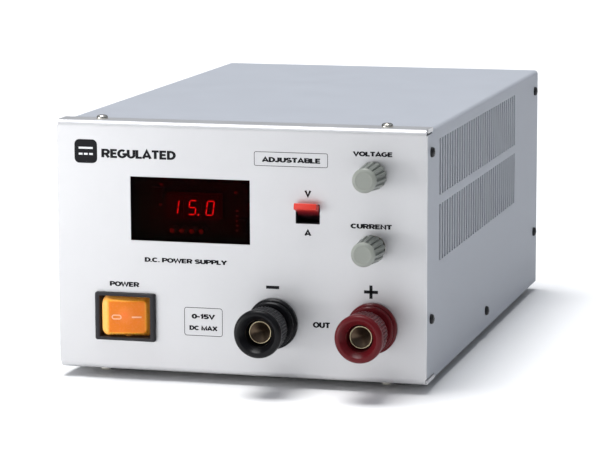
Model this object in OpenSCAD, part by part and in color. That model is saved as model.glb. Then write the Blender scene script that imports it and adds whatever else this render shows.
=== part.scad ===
// Bench power supply: a sheet-metal case with a folded front panel, a slotted cover,
// controls, output posts and a switch-mode power section.
// Frame: X to the right, Y towards the back, Z up, origin on the table under the middle.

/* [Case] */
// Width of the front panel
panel_w = 194; // [194:0.5:198]
// Height of the front panel
panel_h = 129; // [129:0.5:132]
// Depth of the case from the panel's face to the rear panel
case_d = 309; // [309:1:330]
// Thickness of the front panel's sheet
panel_t = 2; // [1.5:0.1:2]
// Outer radius of the panel's two folds
panel_fold = 3; // [2.5:0.1:3.5]
// Depth of the panel's top flange
top_flange = 14; // [12:0.5:16]
// Depth of the panel's bottom flange
bottom_flange = 20; // [16:0.5:22]
// Thickness of the cover's sheet
cover_t = 1; // [0.8:0.1:1]
// Thickness of the chassis and rear panel sheet
sheet_t = 1.5; // [1:0.1:1.5]
// Height of the feet below the panel's bottom edge
foot_h = 5; // [3:0.5:8]
// Diameter of a foot
foot_d = 17; // [12:0.5:18]

/* [Side vents] */
// Slots in each row
vent_count = 34; // [4:1:34]
// Distance from slot to slot
vent_pitch = 6.1; // [4:0.1:6.1]
// Width of a slot
vent_w = 3.4; // [1:0.1:3.6]
// Length of a slot
vent_len = 29; // [15:0.5:29]

/* [Display] */
// Width of the display window
window_w = 63.4; // [60:0.1:64]
// Height of the display window
window_h = 33; // [30:0.1:34]

/* [Power switch] */
// Width of the switch's bezel
bezel_w = 32.4; // [32:0.1:33]
// Height of the switch's bezel
bezel_h = 25; // [25:0.1:25.6]
// Angle between the rocker's two positions
rocker_swing = 20; // [16:1:20]

/* [Meter switch] */
// Angle between the lever's two positions
lever_swing = 38; // [34:1:38]

/* [Knobs] */
// Diameter of a knob at its base
knob_d = 14.4; // [13.8:0.1:15]
// Length of a knob without its cap
knob_len = 17; // [15:0.1:17]
// Height of the voltage knob's front above the panel
voltage_knob_out = 20.5; // [20:0.5:22]
// Height of the current knob's front above the panel
current_knob_out = 24.5; // [20:0.5:25]

/* [Output posts] */
// Diameter of a post's base flange
post_d = 26; // [25:0.1:27]
// Diameter of a post cap's front rim
cap_d = 24.6; // [24:0.1:25.4]
// Diameter of the stud's front end
stud_d = 11.2; // [10.8:0.1:11.6]
// Height of the caps above the panel
post_out = 31; // [31:0.5:33]
// Distance that a cap unscrews
cap_travel = 6; // [3:0.5:6]

/* [Rear] */
// Distance that the fuse drawer slides out
drawer_travel = 12; // [6:1:12]

/* [Hidden] */
$fn = 48;
eps = 0.01;

// Everything behind the rear panel stays within this distance of it
rear_out = 4;
face_y = -(case_d + rear_out - post_out) / 2;

// Cover
cover_w = panel_w - 1;
cover_h = panel_h - 1;
cover_fold = 2.2;
cover_gap = 0.3;
inner_w = cover_w - 2 * cover_t;
vent_first = 33.5;
vent_rows = [58.3, 92];

// Chassis
chassis_w = inner_w - 0.4;
chassis_front = panel_t + 1.2;
floor_z = panel_t;
floor_top = floor_z + sheet_t;
wall_h = 24;
ear_len = 22;
ear_top = panel_h - panel_t - sheet_t - 0.1;
rail_top = panel_h - panel_t;
rear_y = case_d - sheet_t;

// Screws
screw_d = 3;
screw_hole = 3.2;
side_screws = [
    [12.5, 116.5],
    [12.5, 31.8],
    [case_d - 10.5, 116.5],
    [case_d - 10.5, 31.8],
    [case_d / 2, 10]
];
side_head_d = 5.2;
side_head_h = 1.8;
flange_screw_x = 75;
flange_screw_y = 8;
flange_head_d = 6;
feet_xy = [[-79, 30], [79, 30], [-79, case_d - 30], [79, case_d - 30]];

// Positions on the panel: across and up
window_at = [-26, 84.4];
rocker_at = [-60.9, 28.1];
meter_at = [35.9, 84.85];
voltage_at = [69.7, 105.5];
current_at = [70.1, 69.3];
negative_at = [17.7, 28.2];
positive_at = [69.4, 28.2];

// Display
window_t = 2.2;
window_recess = 0.4;
window_lip = 2;
digit_pitch = 9.4;
digit_at = [-26.7, 85.2];
board_y = 14;

// Power switch
bezel_t = 2.2;
rocker_pivot_y = 4;
rocker_w = 26;
rocker_h = 20.8;
rocker_face_w = 20.6;
rocker_face_h = 17;
rocker_hole_w = 27.2;
rocker_hole_h = 21.4;
rocker_body_w = 29.6;
rocker_body_h = 23.6;
rocker_body_d = 26;
rocker_pin_d = 3;
rocker_vee = 5;

// Meter switch
meter_hole = [12.6, 10];
meter_pivot_y = 8;
lever_w = 11.7;
lever_tip = 14.5;
lever_neck = 8.5;
lever_tip_t = 3.2;
lever_barrel_d = 8.4;

// Potentiometers and knobs
bush_d = 7;
shaft_d = 6;
pot_d = 24;
cap_disc_d = 12.4;
cap_disc_t = 2.4;
flutes = 14;

// Output posts
stud_shank_d = 10;
stud_hole_d = 10.2;
post_neck_d = 16;
thread_gap = 0.05;
recess_y = 22;
recess_d = 13;
mouth_d = 19;
ribs = 44;
ring_front = 6.6;
ring_bore = 14.2;

// Power section
board_z = floor_top + 8;
board_t = 1.6;
board_w = 168;
board_len = 200;
board_y0 = 64;
spacer_x = board_w / 2 - 4;

// Rear
fan_at = [-45, 66];
fan_size = 80;
fan_depth = 25;
fan_hole = 71.5;
duct_d = 76;
hub_d = 32;
fan_pin_d = 3;
inlet_at = [52, 74];
inlet_flange = [34, 42];
inlet_body = [28, 36];
drawer_size = [24.6, 8.6, 15];
drawer_drop = 12;
socket_size = [24.6, 16.8, 16];
socket_rise = 6.5;
pin_places = [[-7, -1.4], [0, 2.6], [7, -1.4]];

// ---- Placing ----

// Puts its children at a place: across, behind the panel's face, above the panel's bottom edge
module at(x, y, z) {
    translate([x, face_y + y, foot_h + z]) children();
}

// A block by its ranges across, in depth and in height
module block(xs, ys, zs) {
    translate([xs[0], face_y + ys[0], foot_h + zs[0]])
        cube([xs[1] - xs[0], ys[1] - ys[0], zs[1] - zs[0]]);
}

// Extrudes a shape drawn in depth and height across the case
module across(length) {
    translate([0, face_y, foot_h])
        rotate([90, 0, 90])
            linear_extrude(length, center = true) children();
}

// Extrudes a shape drawn across and in height, from one depth to another
module in_depth(y0, y1) {
    translate([0, face_y + y1, foot_h])
        rotate([90, 0, 0])
            linear_extrude(y1 - y0) children();
}

// A round bar along Y between two depths, on a place on the panel
module bar_y(place, y0, y1, d, d_end = undef) {
    at(place[0], y0, place[1])
        rotate([-90, 0, 0])
            cylinder(h = y1 - y0, d1 = d, d2 = is_undef(d_end) ? d : d_end);
}

// A turned solid on the panel; its profile is [radius, depth] points
module turned_y(place, profile) {
    at(place[0], 0, place[1])
        rotate([-90, 0, 0])
            rotate_extrude() polygon(profile);
}

// A rectangle with its two corners on the low side of the first axis rounded
module front_rounded(x0, y0, x1, y1, r) {
    translate([x0 + r, y0]) square([x1 - x0 - r, y1 - y0]);
    translate([x0, y0 + r]) square([r + eps, y1 - y0 - 2 * r]);
    translate([x0 + r, y0 + r]) circle(r);
    translate([x0 + r, y1 - r]) circle(r);
}

// A centred rectangle with its two upper corners rounded
module top_rounded(w, y0, y1, r) {
    translate([-w / 2, y0]) square([w, y1 - y0 - r]);
    translate([-w / 2 + r, y1 - r - eps]) square([w - 2 * r, r + eps]);
    for (side = [-1, 1])
        translate([side * (w / 2 - r), y1 - r]) circle(r);
}

module rounded_square(w, h, r) {
    square([w - 2 * r, h], center = true);
    square([w, h - 2 * r], center = true);
    for (sx = [-1, 1], sy = [-1, 1])
        translate([sx * (w / 2 - r), sy * (h / 2 - r)]) circle(r);
}

// A pan head with its slot side facing away from the shank; the seat is at z = 0
module pan_screw(head_d, head_h, shank_d, shank_len) {
    cylinder(h = head_h * 0.55, d = head_d);
    translate([0, 0, head_h * 0.55])
        cylinder(h = head_h * 0.45, d1 = head_d, d2 = head_d * 0.62);
    translate([0, 0, -shank_len]) cylinder(h = shank_len, d = shank_d);
}

module hex_nut(across_flats, thickness, bore) {
    difference() {
        cylinder(h = thickness, d = across_flats / cos(30), $fn = 6);
        translate([0, 0, -1]) cylinder(h = thickness + 2, d = bore, $fn = 48);
    }
}

// A bent wire of eight sides along points; no part of it may run along the reference
wire_reference = [0.6, -0.5, 0.62];
function unit(v) = v / norm(v);
function along(p, i) = unit(p[min(i + 1, len(p) - 1)] - p[max(i - 1, 0)]);
function sideways(t) = unit(cross(t, wire_reference));
module wire(points, r) {
    n = 8;
    rings = [for (i = [0:len(points) - 1])
        let (t = along(points, i), a = sideways(t), b = cross(t, a))
        for (k = [0:n - 1]) points[i] + r * (cos(k * 360 / n) * a + sin(k * 360 / n) * b)];
    last = (len(points) - 1) * n;
    sides = [for (i = [0:len(points) - 2], k = [0:n - 1])
        let (m = (k + 1) % n) [i * n + k, i * n + m, (i + 1) * n + m, (i + 1) * n + k]];
    start = [[for (k = [n - 1:-1:0]) k]];
    end = [[for (k = [0:n - 1]) last + k]];
    polyhedron(points = rings, faces = concat(sides, start, end));
}

// ---- Case ----

// Folded front panel: a flat face with a flange along its top and its bottom
module front_panel() {
    relief = 0.6;
    color([0.86, 0.87, 0.88])
    difference() {
        across(panel_w)
            difference() {
                front_rounded(0, 0, bottom_flange, panel_h, panel_fold);
                front_rounded(panel_t, panel_t, bottom_flange + 5, panel_h - panel_t,
                              panel_fold - panel_t);
                translate([top_flange, panel_h / 2]) square([20, panel_h]);
            }
        for (side = [-1, 1], z = [panel_h - panel_fold, -1])
            at(side * (panel_w / 2 - relief + 5), panel_fold / 2 - 0.5, z + (panel_fold + 1) / 2)
                cube([10, panel_fold + 1, panel_fold + 1], center = true);
        block([window_at[0] - window_w / 2, window_at[0] + window_w / 2], [-1, panel_t + 1],
              [window_at[1] - window_h / 2, window_at[1] + window_h / 2]);
        in_depth(-1, panel_t + 1)
            translate(rocker_at)
                square([rocker_body_w + 0.4, rocker_body_h + 0.4], center = true);
        block([meter_at[0] - meter_hole[0] / 2, meter_at[0] + meter_hole[0] / 2],
              [-1, panel_t + 1],
              [meter_at[1] - meter_hole[1] / 2, meter_at[1] + meter_hole[1] / 2]);
        for (place = [voltage_at, current_at])
            bar_y(place, -1, panel_t + 1, bush_d + 0.2);
        for (place = [negative_at, positive_at])
            bar_y(place, -1, panel_t + 1, post_neck_d + 0.3);
        for (side = [-1, 1], z = [-1, panel_h - panel_t - 1])
            at(side * flange_screw_x, flange_screw_y, z)
                cylinder(h = panel_t + 2, d = screw_hole);
    }
}

// Slots of both sides, drawn in depth and height
module vent_slots() {
    for (row = vent_rows, i = [0:vent_count - 1])
        translate([vent_first + i * vent_pitch - vent_w / 2, row]) square([vent_w, vent_len]);
}

// Inverted U of thin sheet that closes the top and the two sides
module cover() {
    notch_top = panel_h - panel_t - 1.2;
    notch_bottom = panel_t + 0.6;
    color([0.74, 0.77, 0.82])
    difference() {
        in_depth(panel_t + 0.4, case_d)
            difference() {
                top_rounded(cover_w, 0, cover_h, cover_fold);
                translate([0, -1])
                    top_rounded(inner_w, 0, cover_h - cover_t + 1, cover_fold - cover_t);
            }
        block([-panel_w, panel_w], [0, top_flange + cover_gap], [notch_top, panel_h]);
        block([-panel_w, panel_w], [0, bottom_flange + cover_gap], [-1, notch_bottom]);
        across(panel_w + 20) vent_slots();
        for (s = side_screws)
            at(0, s[0], s[1])
                rotate([0, 90, 0]) cylinder(h = panel_w + 20, d = screw_hole, center = true);
    }
}

// Floor tray with low side walls, four corner ears and clinch nuts for the cover's screws
module chassis_base() {
    nut_d = 7;
    nut_h = 2.5;
    color([0.7, 0.71, 0.7])
    difference() {
        union() {
            block([-chassis_w / 2, chassis_w / 2], [chassis_front, rear_y - 0.2],
                  [floor_z, floor_top]);
            for (side = [-1, 1]) {
                wall = side < 0 ? [-chassis_w / 2, -chassis_w / 2 + sheet_t]
                                : [chassis_w / 2 - sheet_t, chassis_w / 2];
                block(wall, [chassis_front, rear_y - 0.2], [floor_z, wall_h]);
                block(wall, [chassis_front, chassis_front + ear_len], [floor_z, ear_top]);
                block(wall, [rear_y - 0.2 - ear_len, rear_y - 0.2], [floor_z, ear_top]);
                for (s = side_screws)
                    at(side * (chassis_w / 2 - sheet_t), s[0], s[1])
                        rotate([0, -side * 90, 0]) cylinder(h = nut_h, d = nut_d);
            }
        }
        for (s = side_screws)
            at(0, s[0], s[1])
                rotate([0, 90, 0]) cylinder(h = panel_w, d = screw_hole, center = true);
        for (p = feet_xy)
            at(p[0], p[1], 0) cylinder(h = floor_top + 1, d = screw_hole);
        for (side = [-1, 1])
            at(side * flange_screw_x, flange_screw_y, 0)
                cylinder(h = floor_top + 1, d = screw_hole);
    }
}

// Cross rail under the top flange, turned down along its back and at both ends
module front_rail() {
    rail_w = chassis_w - 2 * sheet_t - 1;
    rail_y = [panel_t + 1.4, 22];
    drop = 14;
    color([0.7, 0.71, 0.7])
    difference() {
        union() {
            block([-rail_w / 2, rail_w / 2], rail_y, [rail_top - sheet_t, rail_top]);
            block([-rail_w / 2, rail_w / 2], [rail_y[1] - sheet_t, rail_y[1]],
                  [rail_top - drop, rail_top]);
        }
        for (side = [-1, 1])
            at(side * flange_screw_x, flange_screw_y, rail_top - drop)
                cylinder(h = drop + 5, d = screw_hole);
    }
}

// Rear plate with a flange along its top and its bottom, and the fan and inlet openings
module rear_panel() {
    flange = 12;
    color([0.74, 0.77, 0.82])
    difference() {
        union() {
            in_depth(rear_y, case_d)
                top_rounded(chassis_w, floor_z, panel_h - panel_t - 0.1, cover_fold - cover_t + 0.2);
            for (z = [floor_top, ear_top + 0.05])
                block([-chassis_w / 2 + 4, chassis_w / 2 - 4], [rear_y - flange, rear_y + eps],
                      [z, z + sheet_t]);
        }
        bar_y(fan_at, rear_y - 1, case_d + 1, duct_d);
        for (sx = [-1, 1], sz = [-1, 1])
            bar_y(fan_at + [sx, sz] * fan_hole / 2, rear_y - 1, case_d + 1, 4.4);
        block([inlet_at[0] - inlet_body[0] / 2 - 0.2, inlet_at[0] + inlet_body[0] / 2 + 0.2],
              [rear_y - 1, case_d + 1],
              [inlet_at[1] - inlet_body[1] / 2 - 0.2, inlet_at[1] + inlet_body[1] / 2 + 0.2]);
    }
}

// Four round rubber feet, each with a sunk screw hole
module feet() {
    height = foot_h + floor_z;
    color([0.08, 0.08, 0.08])
    for (p = feet_xy)
        at(p[0], p[1], -foot_h)
            difference() {
                cylinder(h = height, d1 = foot_d - 1.6, d2 = foot_d);
                translate([0, 0, -1]) cylinder(h = 4, d = 8);
                cylinder(h = height + 1, d = screw_hole);
            }
}

// Foot screws with their nuts on the chassis floor
module foot_screws() {
    color([0.75, 0.75, 0.75])
    for (p = feet_xy) {
        at(p[0], p[1], -foot_h + 3)
            rotate([180, 0, 0]) pan_screw(6, 1.8, screw_d, 10.5);
        at(p[0], p[1], floor_top) hex_nut(5.5, 2.4, screw_d);
    }
}

// Ten black screws that hold the cover's sides
module cover_screws() {
    color([0.06, 0.06, 0.06])
    for (side = [-1, 1], s = side_screws)
        at(side * cover_w / 2, s[0], s[1])
            rotate([0, side * 90, 0]) pan_screw(side_head_d, side_head_h, screw_d, 6);
}

// Four plated screws through the panel's flanges
module flange_screws() {
    color([0.8, 0.8, 0.8])
    for (side = [-1, 1]) {
        at(side * flange_screw_x, flange_screw_y, panel_h)
            pan_screw(flange_head_d, 2.1, screw_d, 7);
        at(side * flange_screw_x, flange_screw_y, 0)
            rotate([180, 0, 0]) pan_screw(flange_head_d, 2.1, screw_d, 7);
    }
}

// ---- Display ----

// Red filter plate behind the opening, with a step that fills it
module display_window() {
    step_w = window_w - 0.2;
    step_h = window_h - 0.2;
    color([0.35, 0.02, 0.03])
    union() {
        block([window_at[0] - window_w / 2 - window_lip, window_at[0] + window_w / 2 + window_lip],
              [panel_t, panel_t + window_t],
              [window_at[1] - window_h / 2 - window_lip, window_at[1] + window_h / 2 + window_lip]);
        block([window_at[0] - step_w / 2, window_at[0] + step_w / 2],
              [window_recess, panel_t + eps],
              [window_at[1] - step_h / 2, window_at[1] + step_h / 2]);
    }
}

// Circuit board of the digital meter
module meter_board() {
    color([0.05, 0.25, 0.12])
    difference() {
        block([window_at[0] - 38, window_at[0] + 38], [board_y, board_y + 1.6],
              [window_at[1] - 22, window_at[1] + 22]);
        for (sx = [-1, 1], sz = [-1, 1])
            bar_y(window_at + [sx * 35.5, sz * 19.5], board_y - 1, board_y + 3, screw_hole);
    }
}

// Three seven-segment modules side by side
module digit_modules() {
    color([0.1, 0.02, 0.02])
    for (i = [-1:1])
        block([digit_at[0] + i * digit_pitch - 4.5, digit_at[0] + i * digit_pitch + 4.5],
              [board_y - 7, board_y], [digit_at[1] - 6.5, digit_at[1] + 6.5]);
}

// Trimmers, capacitors and chips of the meter board
module meter_parts() {
    color([0.12, 0.12, 0.12])
    union() {
        for (i = [0:1])
            block([-3 + i * 5, 1 + i * 5], [board_y - 5, board_y], [72 + i * 9, 79 + i * 9]);
        block([-2, 3], [board_y - 3.5, board_y], [89.5, 97]);
        block([-50, -44], [board_y - 4, board_y], [88, 94]);
        for (i = [0:3])
            bar_y([-38 + i * 5.2, 72.5], board_y - 6, board_y, 3.6);
        block([-55, -40], [board_y + 1.6, board_y + 5], [75, 81]);
        block([-35, -10], [board_y + 1.6, board_y + 5.5], [84, 92]);
    }
}

// Four spacers that hold the meter board on the panel's studs
module meter_spacers() {
    color([0.75, 0.73, 0.6])
    for (sx = [-1, 1], sz = [-1, 1])
        difference() {
            bar_y(window_at + [sx * 35.5, sz * 19.5], panel_t, board_y + 3.6, 3);
            bar_y(window_at + [sx * 35.5, sz * 19.5], board_y + 2.6, board_y + 4, 1.2);
        }
}

// ---- Power switch ----

// Black bezel and housing with the rocker's well and its two pivot bores
module power_switch_body() {
    color([0.12, 0.12, 0.13])
    difference() {
        union() {
            in_depth(-bezel_t, 0)
                translate(rocker_at) rounded_square(bezel_w, bezel_h, 0.8);
            in_depth(-eps, rocker_body_d)
                translate(rocker_at) square([rocker_body_w, rocker_body_h], center = true);
        }
        in_depth(-bezel_t - 1, 14)
            translate(rocker_at) rounded_square(rocker_hole_w, rocker_hole_h, 0.4);
        at(rocker_at[0], rocker_pivot_y, rocker_at[1])
            cylinder(h = rocker_body_h + 2, d = rocker_pin_d + 0.1, center = true);
    }
}

// Four blade terminals behind the housing
module power_switch_tabs() {
    color([0.78, 0.66, 0.35])
    for (sx = [-1, 1], sz = [-1, 1])
        at(rocker_at[0] + sx * 7, rocker_body_d + 4, rocker_at[1] + sz * 5.5)
            cube([0.8, 8, 6.3], center = true);
}

// The rocker in its middle position: a vee face with a broad bevel along its left end, on a
// body whose sides slope in to it
module rocker_solid() {
    crest = -bezel_t - 0.4 - rocker_pivot_y;
    edge = crest + rocker_face_w / 2 * tan(rocker_vee);
    bevel_in = 9.5;
    bevel_out = 13;
    bevel_edge = crest + bevel_in * tan(rocker_vee);
    bevel_foot = -3.4;
    shoulder = -1.4;
    back = 2.6;
    slope = (rocker_h - rocker_face_h) / 2 / (shoulder - edge);
    w = rocker_w / 2;
    h = rocker_h / 2;
    tip_h = h - slope * (shoulder - crest + 1);
    intersection() {
        linear_extrude(rocker_h + 2, center = true)
            polygon([[w, back], [w, shoulder], [rocker_face_w / 2, edge], [0, crest],
                     [-bevel_in, bevel_edge], [-bevel_out, bevel_foot], [-w, back]]);
        rotate([90, 0, 90])
            linear_extrude(rocker_w + 2, center = true)
                polygon([[back + 1, -h], [back + 1, h], [shoulder, h], [crest - 1, tip_h],
                         [crest - 1, -tip_h], [shoulder, -h]]);
    }
}

// Lit rocker with a hollow back and two pivot pins
module power_rocker() {
    pin_len = (rocker_body_h - rocker_h) / 2 - 0.1;
    color([0.95, 0.55, 0.12])
    at(rocker_at[0], rocker_pivot_y, rocker_at[1])
        rotate([0, 0, rocker_swing / 2])
            difference() {
                union() {
                    rocker_solid();
                    cylinder(h = rocker_h + 2 * pin_len, d = rocker_pin_d, center = true);
                }
                translate([0, 2, 0]) cube([15, 9, 12.6], center = true);
            }
}

// Neon lamp in the rocker's hollow
module rocker_lamp() {
    color([0.9, 0.6, 0.4])
    at(rocker_at[0], rocker_pivot_y, rocker_at[1])
        rotate([0, 0, rocker_swing / 2])
            cylinder(h = 12.6, d = 4.4, center = true);
}

// ---- Meter switch ----

// Black housing with a thin-walled nose that fills the panel's opening
module meter_switch_body() {
    nose = [meter_hole[0] - 0.1, meter_hole[1] - 0.1];
    well = [nose[0] - 0.6, nose[1] - 0.6];
    color([0.08, 0.08, 0.08])
    difference() {
        union() {
            in_depth(0, panel_t + eps) translate(meter_at) square(nose, center = true);
            in_depth(panel_t, 20) translate(meter_at) square([17, 18], center = true);
        }
        in_depth(-1, 5) translate(meter_at) square(well, center = true);
        in_depth(4, 16) translate(meter_at) square([well[0], 14], center = true);
        at(meter_at[0], meter_pivot_y, meter_at[1])
            rotate([0, 90, 0]) cylinder(h = 20, d = 2.1, center = true);
    }
}

// Six solder tabs of the meter switch
module meter_switch_tabs() {
    color([0.78, 0.66, 0.35])
    for (sx = [-1, 1], sz = [-1:1])
        at(meter_at[0] + sx * 4, 22, meter_at[1] + sz * 4.7)
            cube([0.8, 4, 2], center = true);
}

// Red lever that tapers to its tip, on a barrel with two pivot pins
module meter_lever() {
    tip = lever_tip_t / 2;
    barrel = lever_barrel_d / 2;
    color([0.75, 0.1, 0.08])
    at(meter_at[0], meter_pivot_y, meter_at[1])
        rotate([-lever_swing / 2, 0, 0])
            union() {
                rotate([90, 0, 90])
                    linear_extrude(lever_w, center = true) {
                        polygon([[-lever_tip, -tip], [-lever_tip, tip], [-lever_neck, tip],
                                 [0, barrel], [0, -barrel], [-lever_neck, -tip]]);
                        circle(barrel);
                    }
                rotate([0, 90, 0]) cylinder(h = 16.8, d = 2, center = true);
            }
}

// ---- Potentiometers and knobs ----

// Potentiometer can with its threaded bush and solder tags
module pot(place) {
    color([0.72, 0.72, 0.7])
    difference() {
        union() {
            bar_y(place, panel_t, panel_t + 12, pot_d);
            bar_y(place, -5, panel_t + 1, bush_d);
            for (i = [-1:1])
                at(place[0] + i * 5, panel_t + 4, place[1] - pot_d / 2 - 2)
                    cube([2.2, 0.8, 7], center = true);
        }
        bar_y(place, -6, panel_t + 10, shaft_d + 0.1);
    }
}
module voltage_pot() { pot(voltage_at); }
module current_pot() { pot(current_at); }

// Shaft that turns in the bush and carries the knob
module shaft(place, knob_out) {
    color([0.75, 0.75, 0.75])
    bar_y(place, cap_disc_t + 2 - knob_out, panel_t + 9.8, shaft_d);
}
module voltage_shaft() { shaft(voltage_at, voltage_knob_out); }
module current_shaft() { shaft(current_at, current_knob_out); }

// Nut and washer on each bush
module pot_nuts() {
    washer_t = 0.5;
    color([0.8, 0.8, 0.8])
    for (place = [voltage_at, current_at]) {
        difference() {
            bar_y(place, -washer_t, 0, 12);
            bar_y(place, -washer_t - 1, 1, bush_d);
        }
        at(place[0], -washer_t, place[1])
            rotate([90, 0, 0]) hex_nut(9, 2, bush_d);
    }
}

// Fluted knob, slightly tapered, with a hollow back that clears the nut
module knob(place, knob_out) {
    front = cap_disc_t - knob_out;
    back = front + knob_len;
    front_d = knob_d - 2.4;
    taper = atan((knob_d - front_d) / 2 / knob_len);
    color([0.6, 0.63, 0.6])
    difference() {
        bar_y(place, front, back, front_d, knob_d);
        for (i = [0:flutes - 1])
            at(place[0], front - 1, place[1])
                rotate([0, i * 360 / flutes, 0])
                    translate([front_d / 2 + 0.42, 0, 0])
                        rotate([-90, 0, -taper]) cylinder(h = knob_len + 3, r = 0.85, $fn = 24);
        bar_y(place, back - 5.5, back + 1, 11);
        bar_y(place, front + 1, back + 1, shaft_d);
    }
}
module voltage_knob() { knob(voltage_at, voltage_knob_out); }
module current_knob() { knob(current_at, current_knob_out); }

// Disc with a sloping edge that covers the knob's front
module knob_cap(place, knob_out) {
    r = cap_disc_d / 2;
    color([0.66, 0.69, 0.65])
    turned_y(place, [[0, -knob_out], [r - 1.6, -knob_out], [r - 0.3, -knob_out + 0.7],
                     [r, -knob_out + 1.1], [r, cap_disc_t - knob_out],
                     [0, cap_disc_t - knob_out]]);
}
module voltage_knob_cap() { knob_cap(voltage_at, voltage_knob_out); }
module current_knob_cap() { knob_cap(current_at, current_knob_out); }

// ---- Output posts ----

// Insulating bush: a flange in front of the panel and a neck through it
module post_base(place, shade) {
    r = post_d / 2;
    bore = stud_hole_d / 2;
    color(shade)
    turned_y(place, [[bore, -3], [r - 0.8, -3], [r, -2.2], [r, 0], [post_neck_d / 2, 0],
                     [post_neck_d / 2, panel_t], [bore, panel_t]]);
}
module negative_base() { post_base(negative_at, [0.07, 0.07, 0.07]); }
module positive_base() { post_base(positive_at, [0.4, 0.08, 0.1]); }

// Threaded stud with a wider front end that has a drilled cone
module post_stud(place) {
    r = stud_d / 2;
    front = -24.5;
    cone_r = r - 0.45;
    color([0.8, 0.72, 0.5])
    turned_y(place, [[0, front + 4.2], [cone_r, front + 1], [cone_r, front], [r, front], [r, -3],
                     [stud_shank_d / 2, -3], [stud_shank_d / 2, 34], [0, 34]]);
}
module negative_stud() { post_stud(negative_at); }
module positive_stud() { post_stud(positive_at); }

// Insulating bushes behind the panel
module post_rear_bushes() {
    color([0.1, 0.1, 0.1])
    for (place = [negative_at, positive_at])
        difference() {
            bar_y(place, panel_t, panel_t + 5, 24);
            bar_y(place, panel_t - 1, panel_t + 6, stud_hole_d);
        }
}

// Nuts and washers on the studs, in front of and behind the bus bars
module post_nuts() {
    color([0.8, 0.8, 0.8])
    for (place = [negative_at, positive_at]) {
        difference() {
            bar_y(place, 7, 8.5, 21);
            bar_y(place, 6, 10, stud_hole_d);
        }
        for (y = [8.5, 20])
            at(place[0], y, place[1]) rotate([-90, 0, 0]) hex_nut(16, 7, stud_hole_d);
    }
}

// Captive pressure ring between base and cap
module post_ring(place, shade) {
    r = cap_d / 2 - 0.4;
    color(shade)
    turned_y(place, [[ring_bore / 2, -ring_front], [r - 0.7, -ring_front],
                     [r, -ring_front + 0.7], [r, -3.9], [r - 0.6, -3.3], [ring_bore / 2, -3.3]]);
}
module negative_ring() { post_ring(negative_at, [0.07, 0.07, 0.07]); }
module positive_ring() { post_ring(positive_at, [0.4, 0.08, 0.1]); }

// Ribbed band of a cap, drawn around the post's axis
module rib_band() {
    outer = cap_d / 2 - 0.5;
    polygon([for (i = [0:2 * ribs - 1])
        let (r = i % 2 == 0 ? outer : outer - 0.55, a = i * 180 / ribs)
        [r * cos(a), r * sin(a)]]);
}

// Screw cap: spigot in the ring, waist, barrel, ribbed band and a smooth rim with a recess
module post_cap(place, shade) {
    r = cap_d / 2;
    bore = stud_d / 2 + thread_gap;
    color(shade)
    difference() {
        union() {
            turned_y(place, [
                [0, -post_out], [r - 1.9, -post_out], [r - 1.0, -post_out + 0.3],
                [r - 0.3, -post_out + 1.0], [r, -post_out + 2], [r, -27.4], [r - 0.8, -26.6],
                [r - 1.4, -26.6], [r - 1.4, -14], [r - 2.2, -10.4], [r - 4, -9.6],
                [r - 4, -ring_front - 0.3], [ring_bore / 2 - 0.1, -ring_front - 0.3],
                [ring_bore / 2 - 0.1, -3.9], [0, -3.9]
            ]);
            at(place[0], -14, place[1])
                rotate([90, 0, 0]) linear_extrude(12.6) rib_band();
        }
        bar_y(place, -recess_y - 1, 0, 2 * bore);
        turned_y(place, [[0, -post_out - 1], [mouth_d / 2, -post_out - 1],
                         [mouth_d / 2, -post_out], [recess_d / 2 + 0.4, -post_out + 3.2],
                         [recess_d / 2, -recess_y], [0, -recess_y]]);
    }
}
module negative_cap() { post_cap(negative_at, [0.07, 0.07, 0.07]); }
module positive_cap() { post_cap(positive_at, [0.4, 0.08, 0.1]); }

// ---- Power section ----

module main_board() {
    color([0.08, 0.3, 0.15])
    difference() {
        block([-board_w / 2, board_w / 2], [board_y0, board_y0 + board_len],
              [board_z, board_z + board_t]);
        for (sx = [-1, 1], i = [0:2])
            at(sx * spacer_x, board_y0 + 6 + i * (board_len - 12) / 2, board_z - 1)
                cylinder(h = board_t + 2, d = screw_hole);
    }
}

// Hexagonal spacers under the board with their screws
module board_spacers() {
    color([0.78, 0.7, 0.45])
    for (sx = [-1, 1], i = [0:2])
        at(sx * spacer_x, board_y0 + 6 + i * (board_len - 12) / 2, floor_top) {
            cylinder(h = board_z - floor_top, d = 6.4, $fn = 6);
            cylinder(h = board_z - floor_top + board_t + 0.5, d = screw_d);
            translate([0, 0, board_z - floor_top + board_t]) cylinder(h = 2, d = 5.6);
        }
}

board_top = board_z + board_t;
sink_y = [100, 245];
sink_x = 46;

// Two finned heat sinks, their fins towards the cover's vents
module heat_sinks() {
    plate = 5;
    fin_len = 24;
    color([0.62, 0.63, 0.65])
    for (side = [-1, 1])
        in_depth(sink_y[0], sink_y[1])
            mirror([side < 0 ? 1 : 0, 0]) {
                translate([sink_x, board_top]) square([plate, 78]);
                for (i = [0:7])
                    translate([sink_x + plate - eps, board_top + 2 + i * 10])
                        square([fin_len, 2]);
            }
}

// Power transistors and rectifiers clamped on the heat sinks
module power_transistors() {
    color([0.1, 0.1, 0.1])
    for (side = [-1, 1], i = [0:4])
        block(side < 0 ? [-sink_x, -sink_x + 5] : [sink_x - 5, sink_x],
              [108 + i * 27, 124 + i * 27], [board_top + 8, board_top + 29]);
}

core_y = 150;
core_size = [62, 32, 58];

// Ferrite core with its two windows
module transformer_core() {
    color([0.2, 0.2, 0.22])
    difference() {
        at(0, core_y, board_top + core_size[2] / 2 + 1) cube(core_size, center = true);
        for (side = [-1, 1])
            at(side * 17.5, core_y, board_top + core_size[2] / 2 + 1)
                cube([15, core_size[1] + 2, 36], center = true);
    }
}

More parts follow.
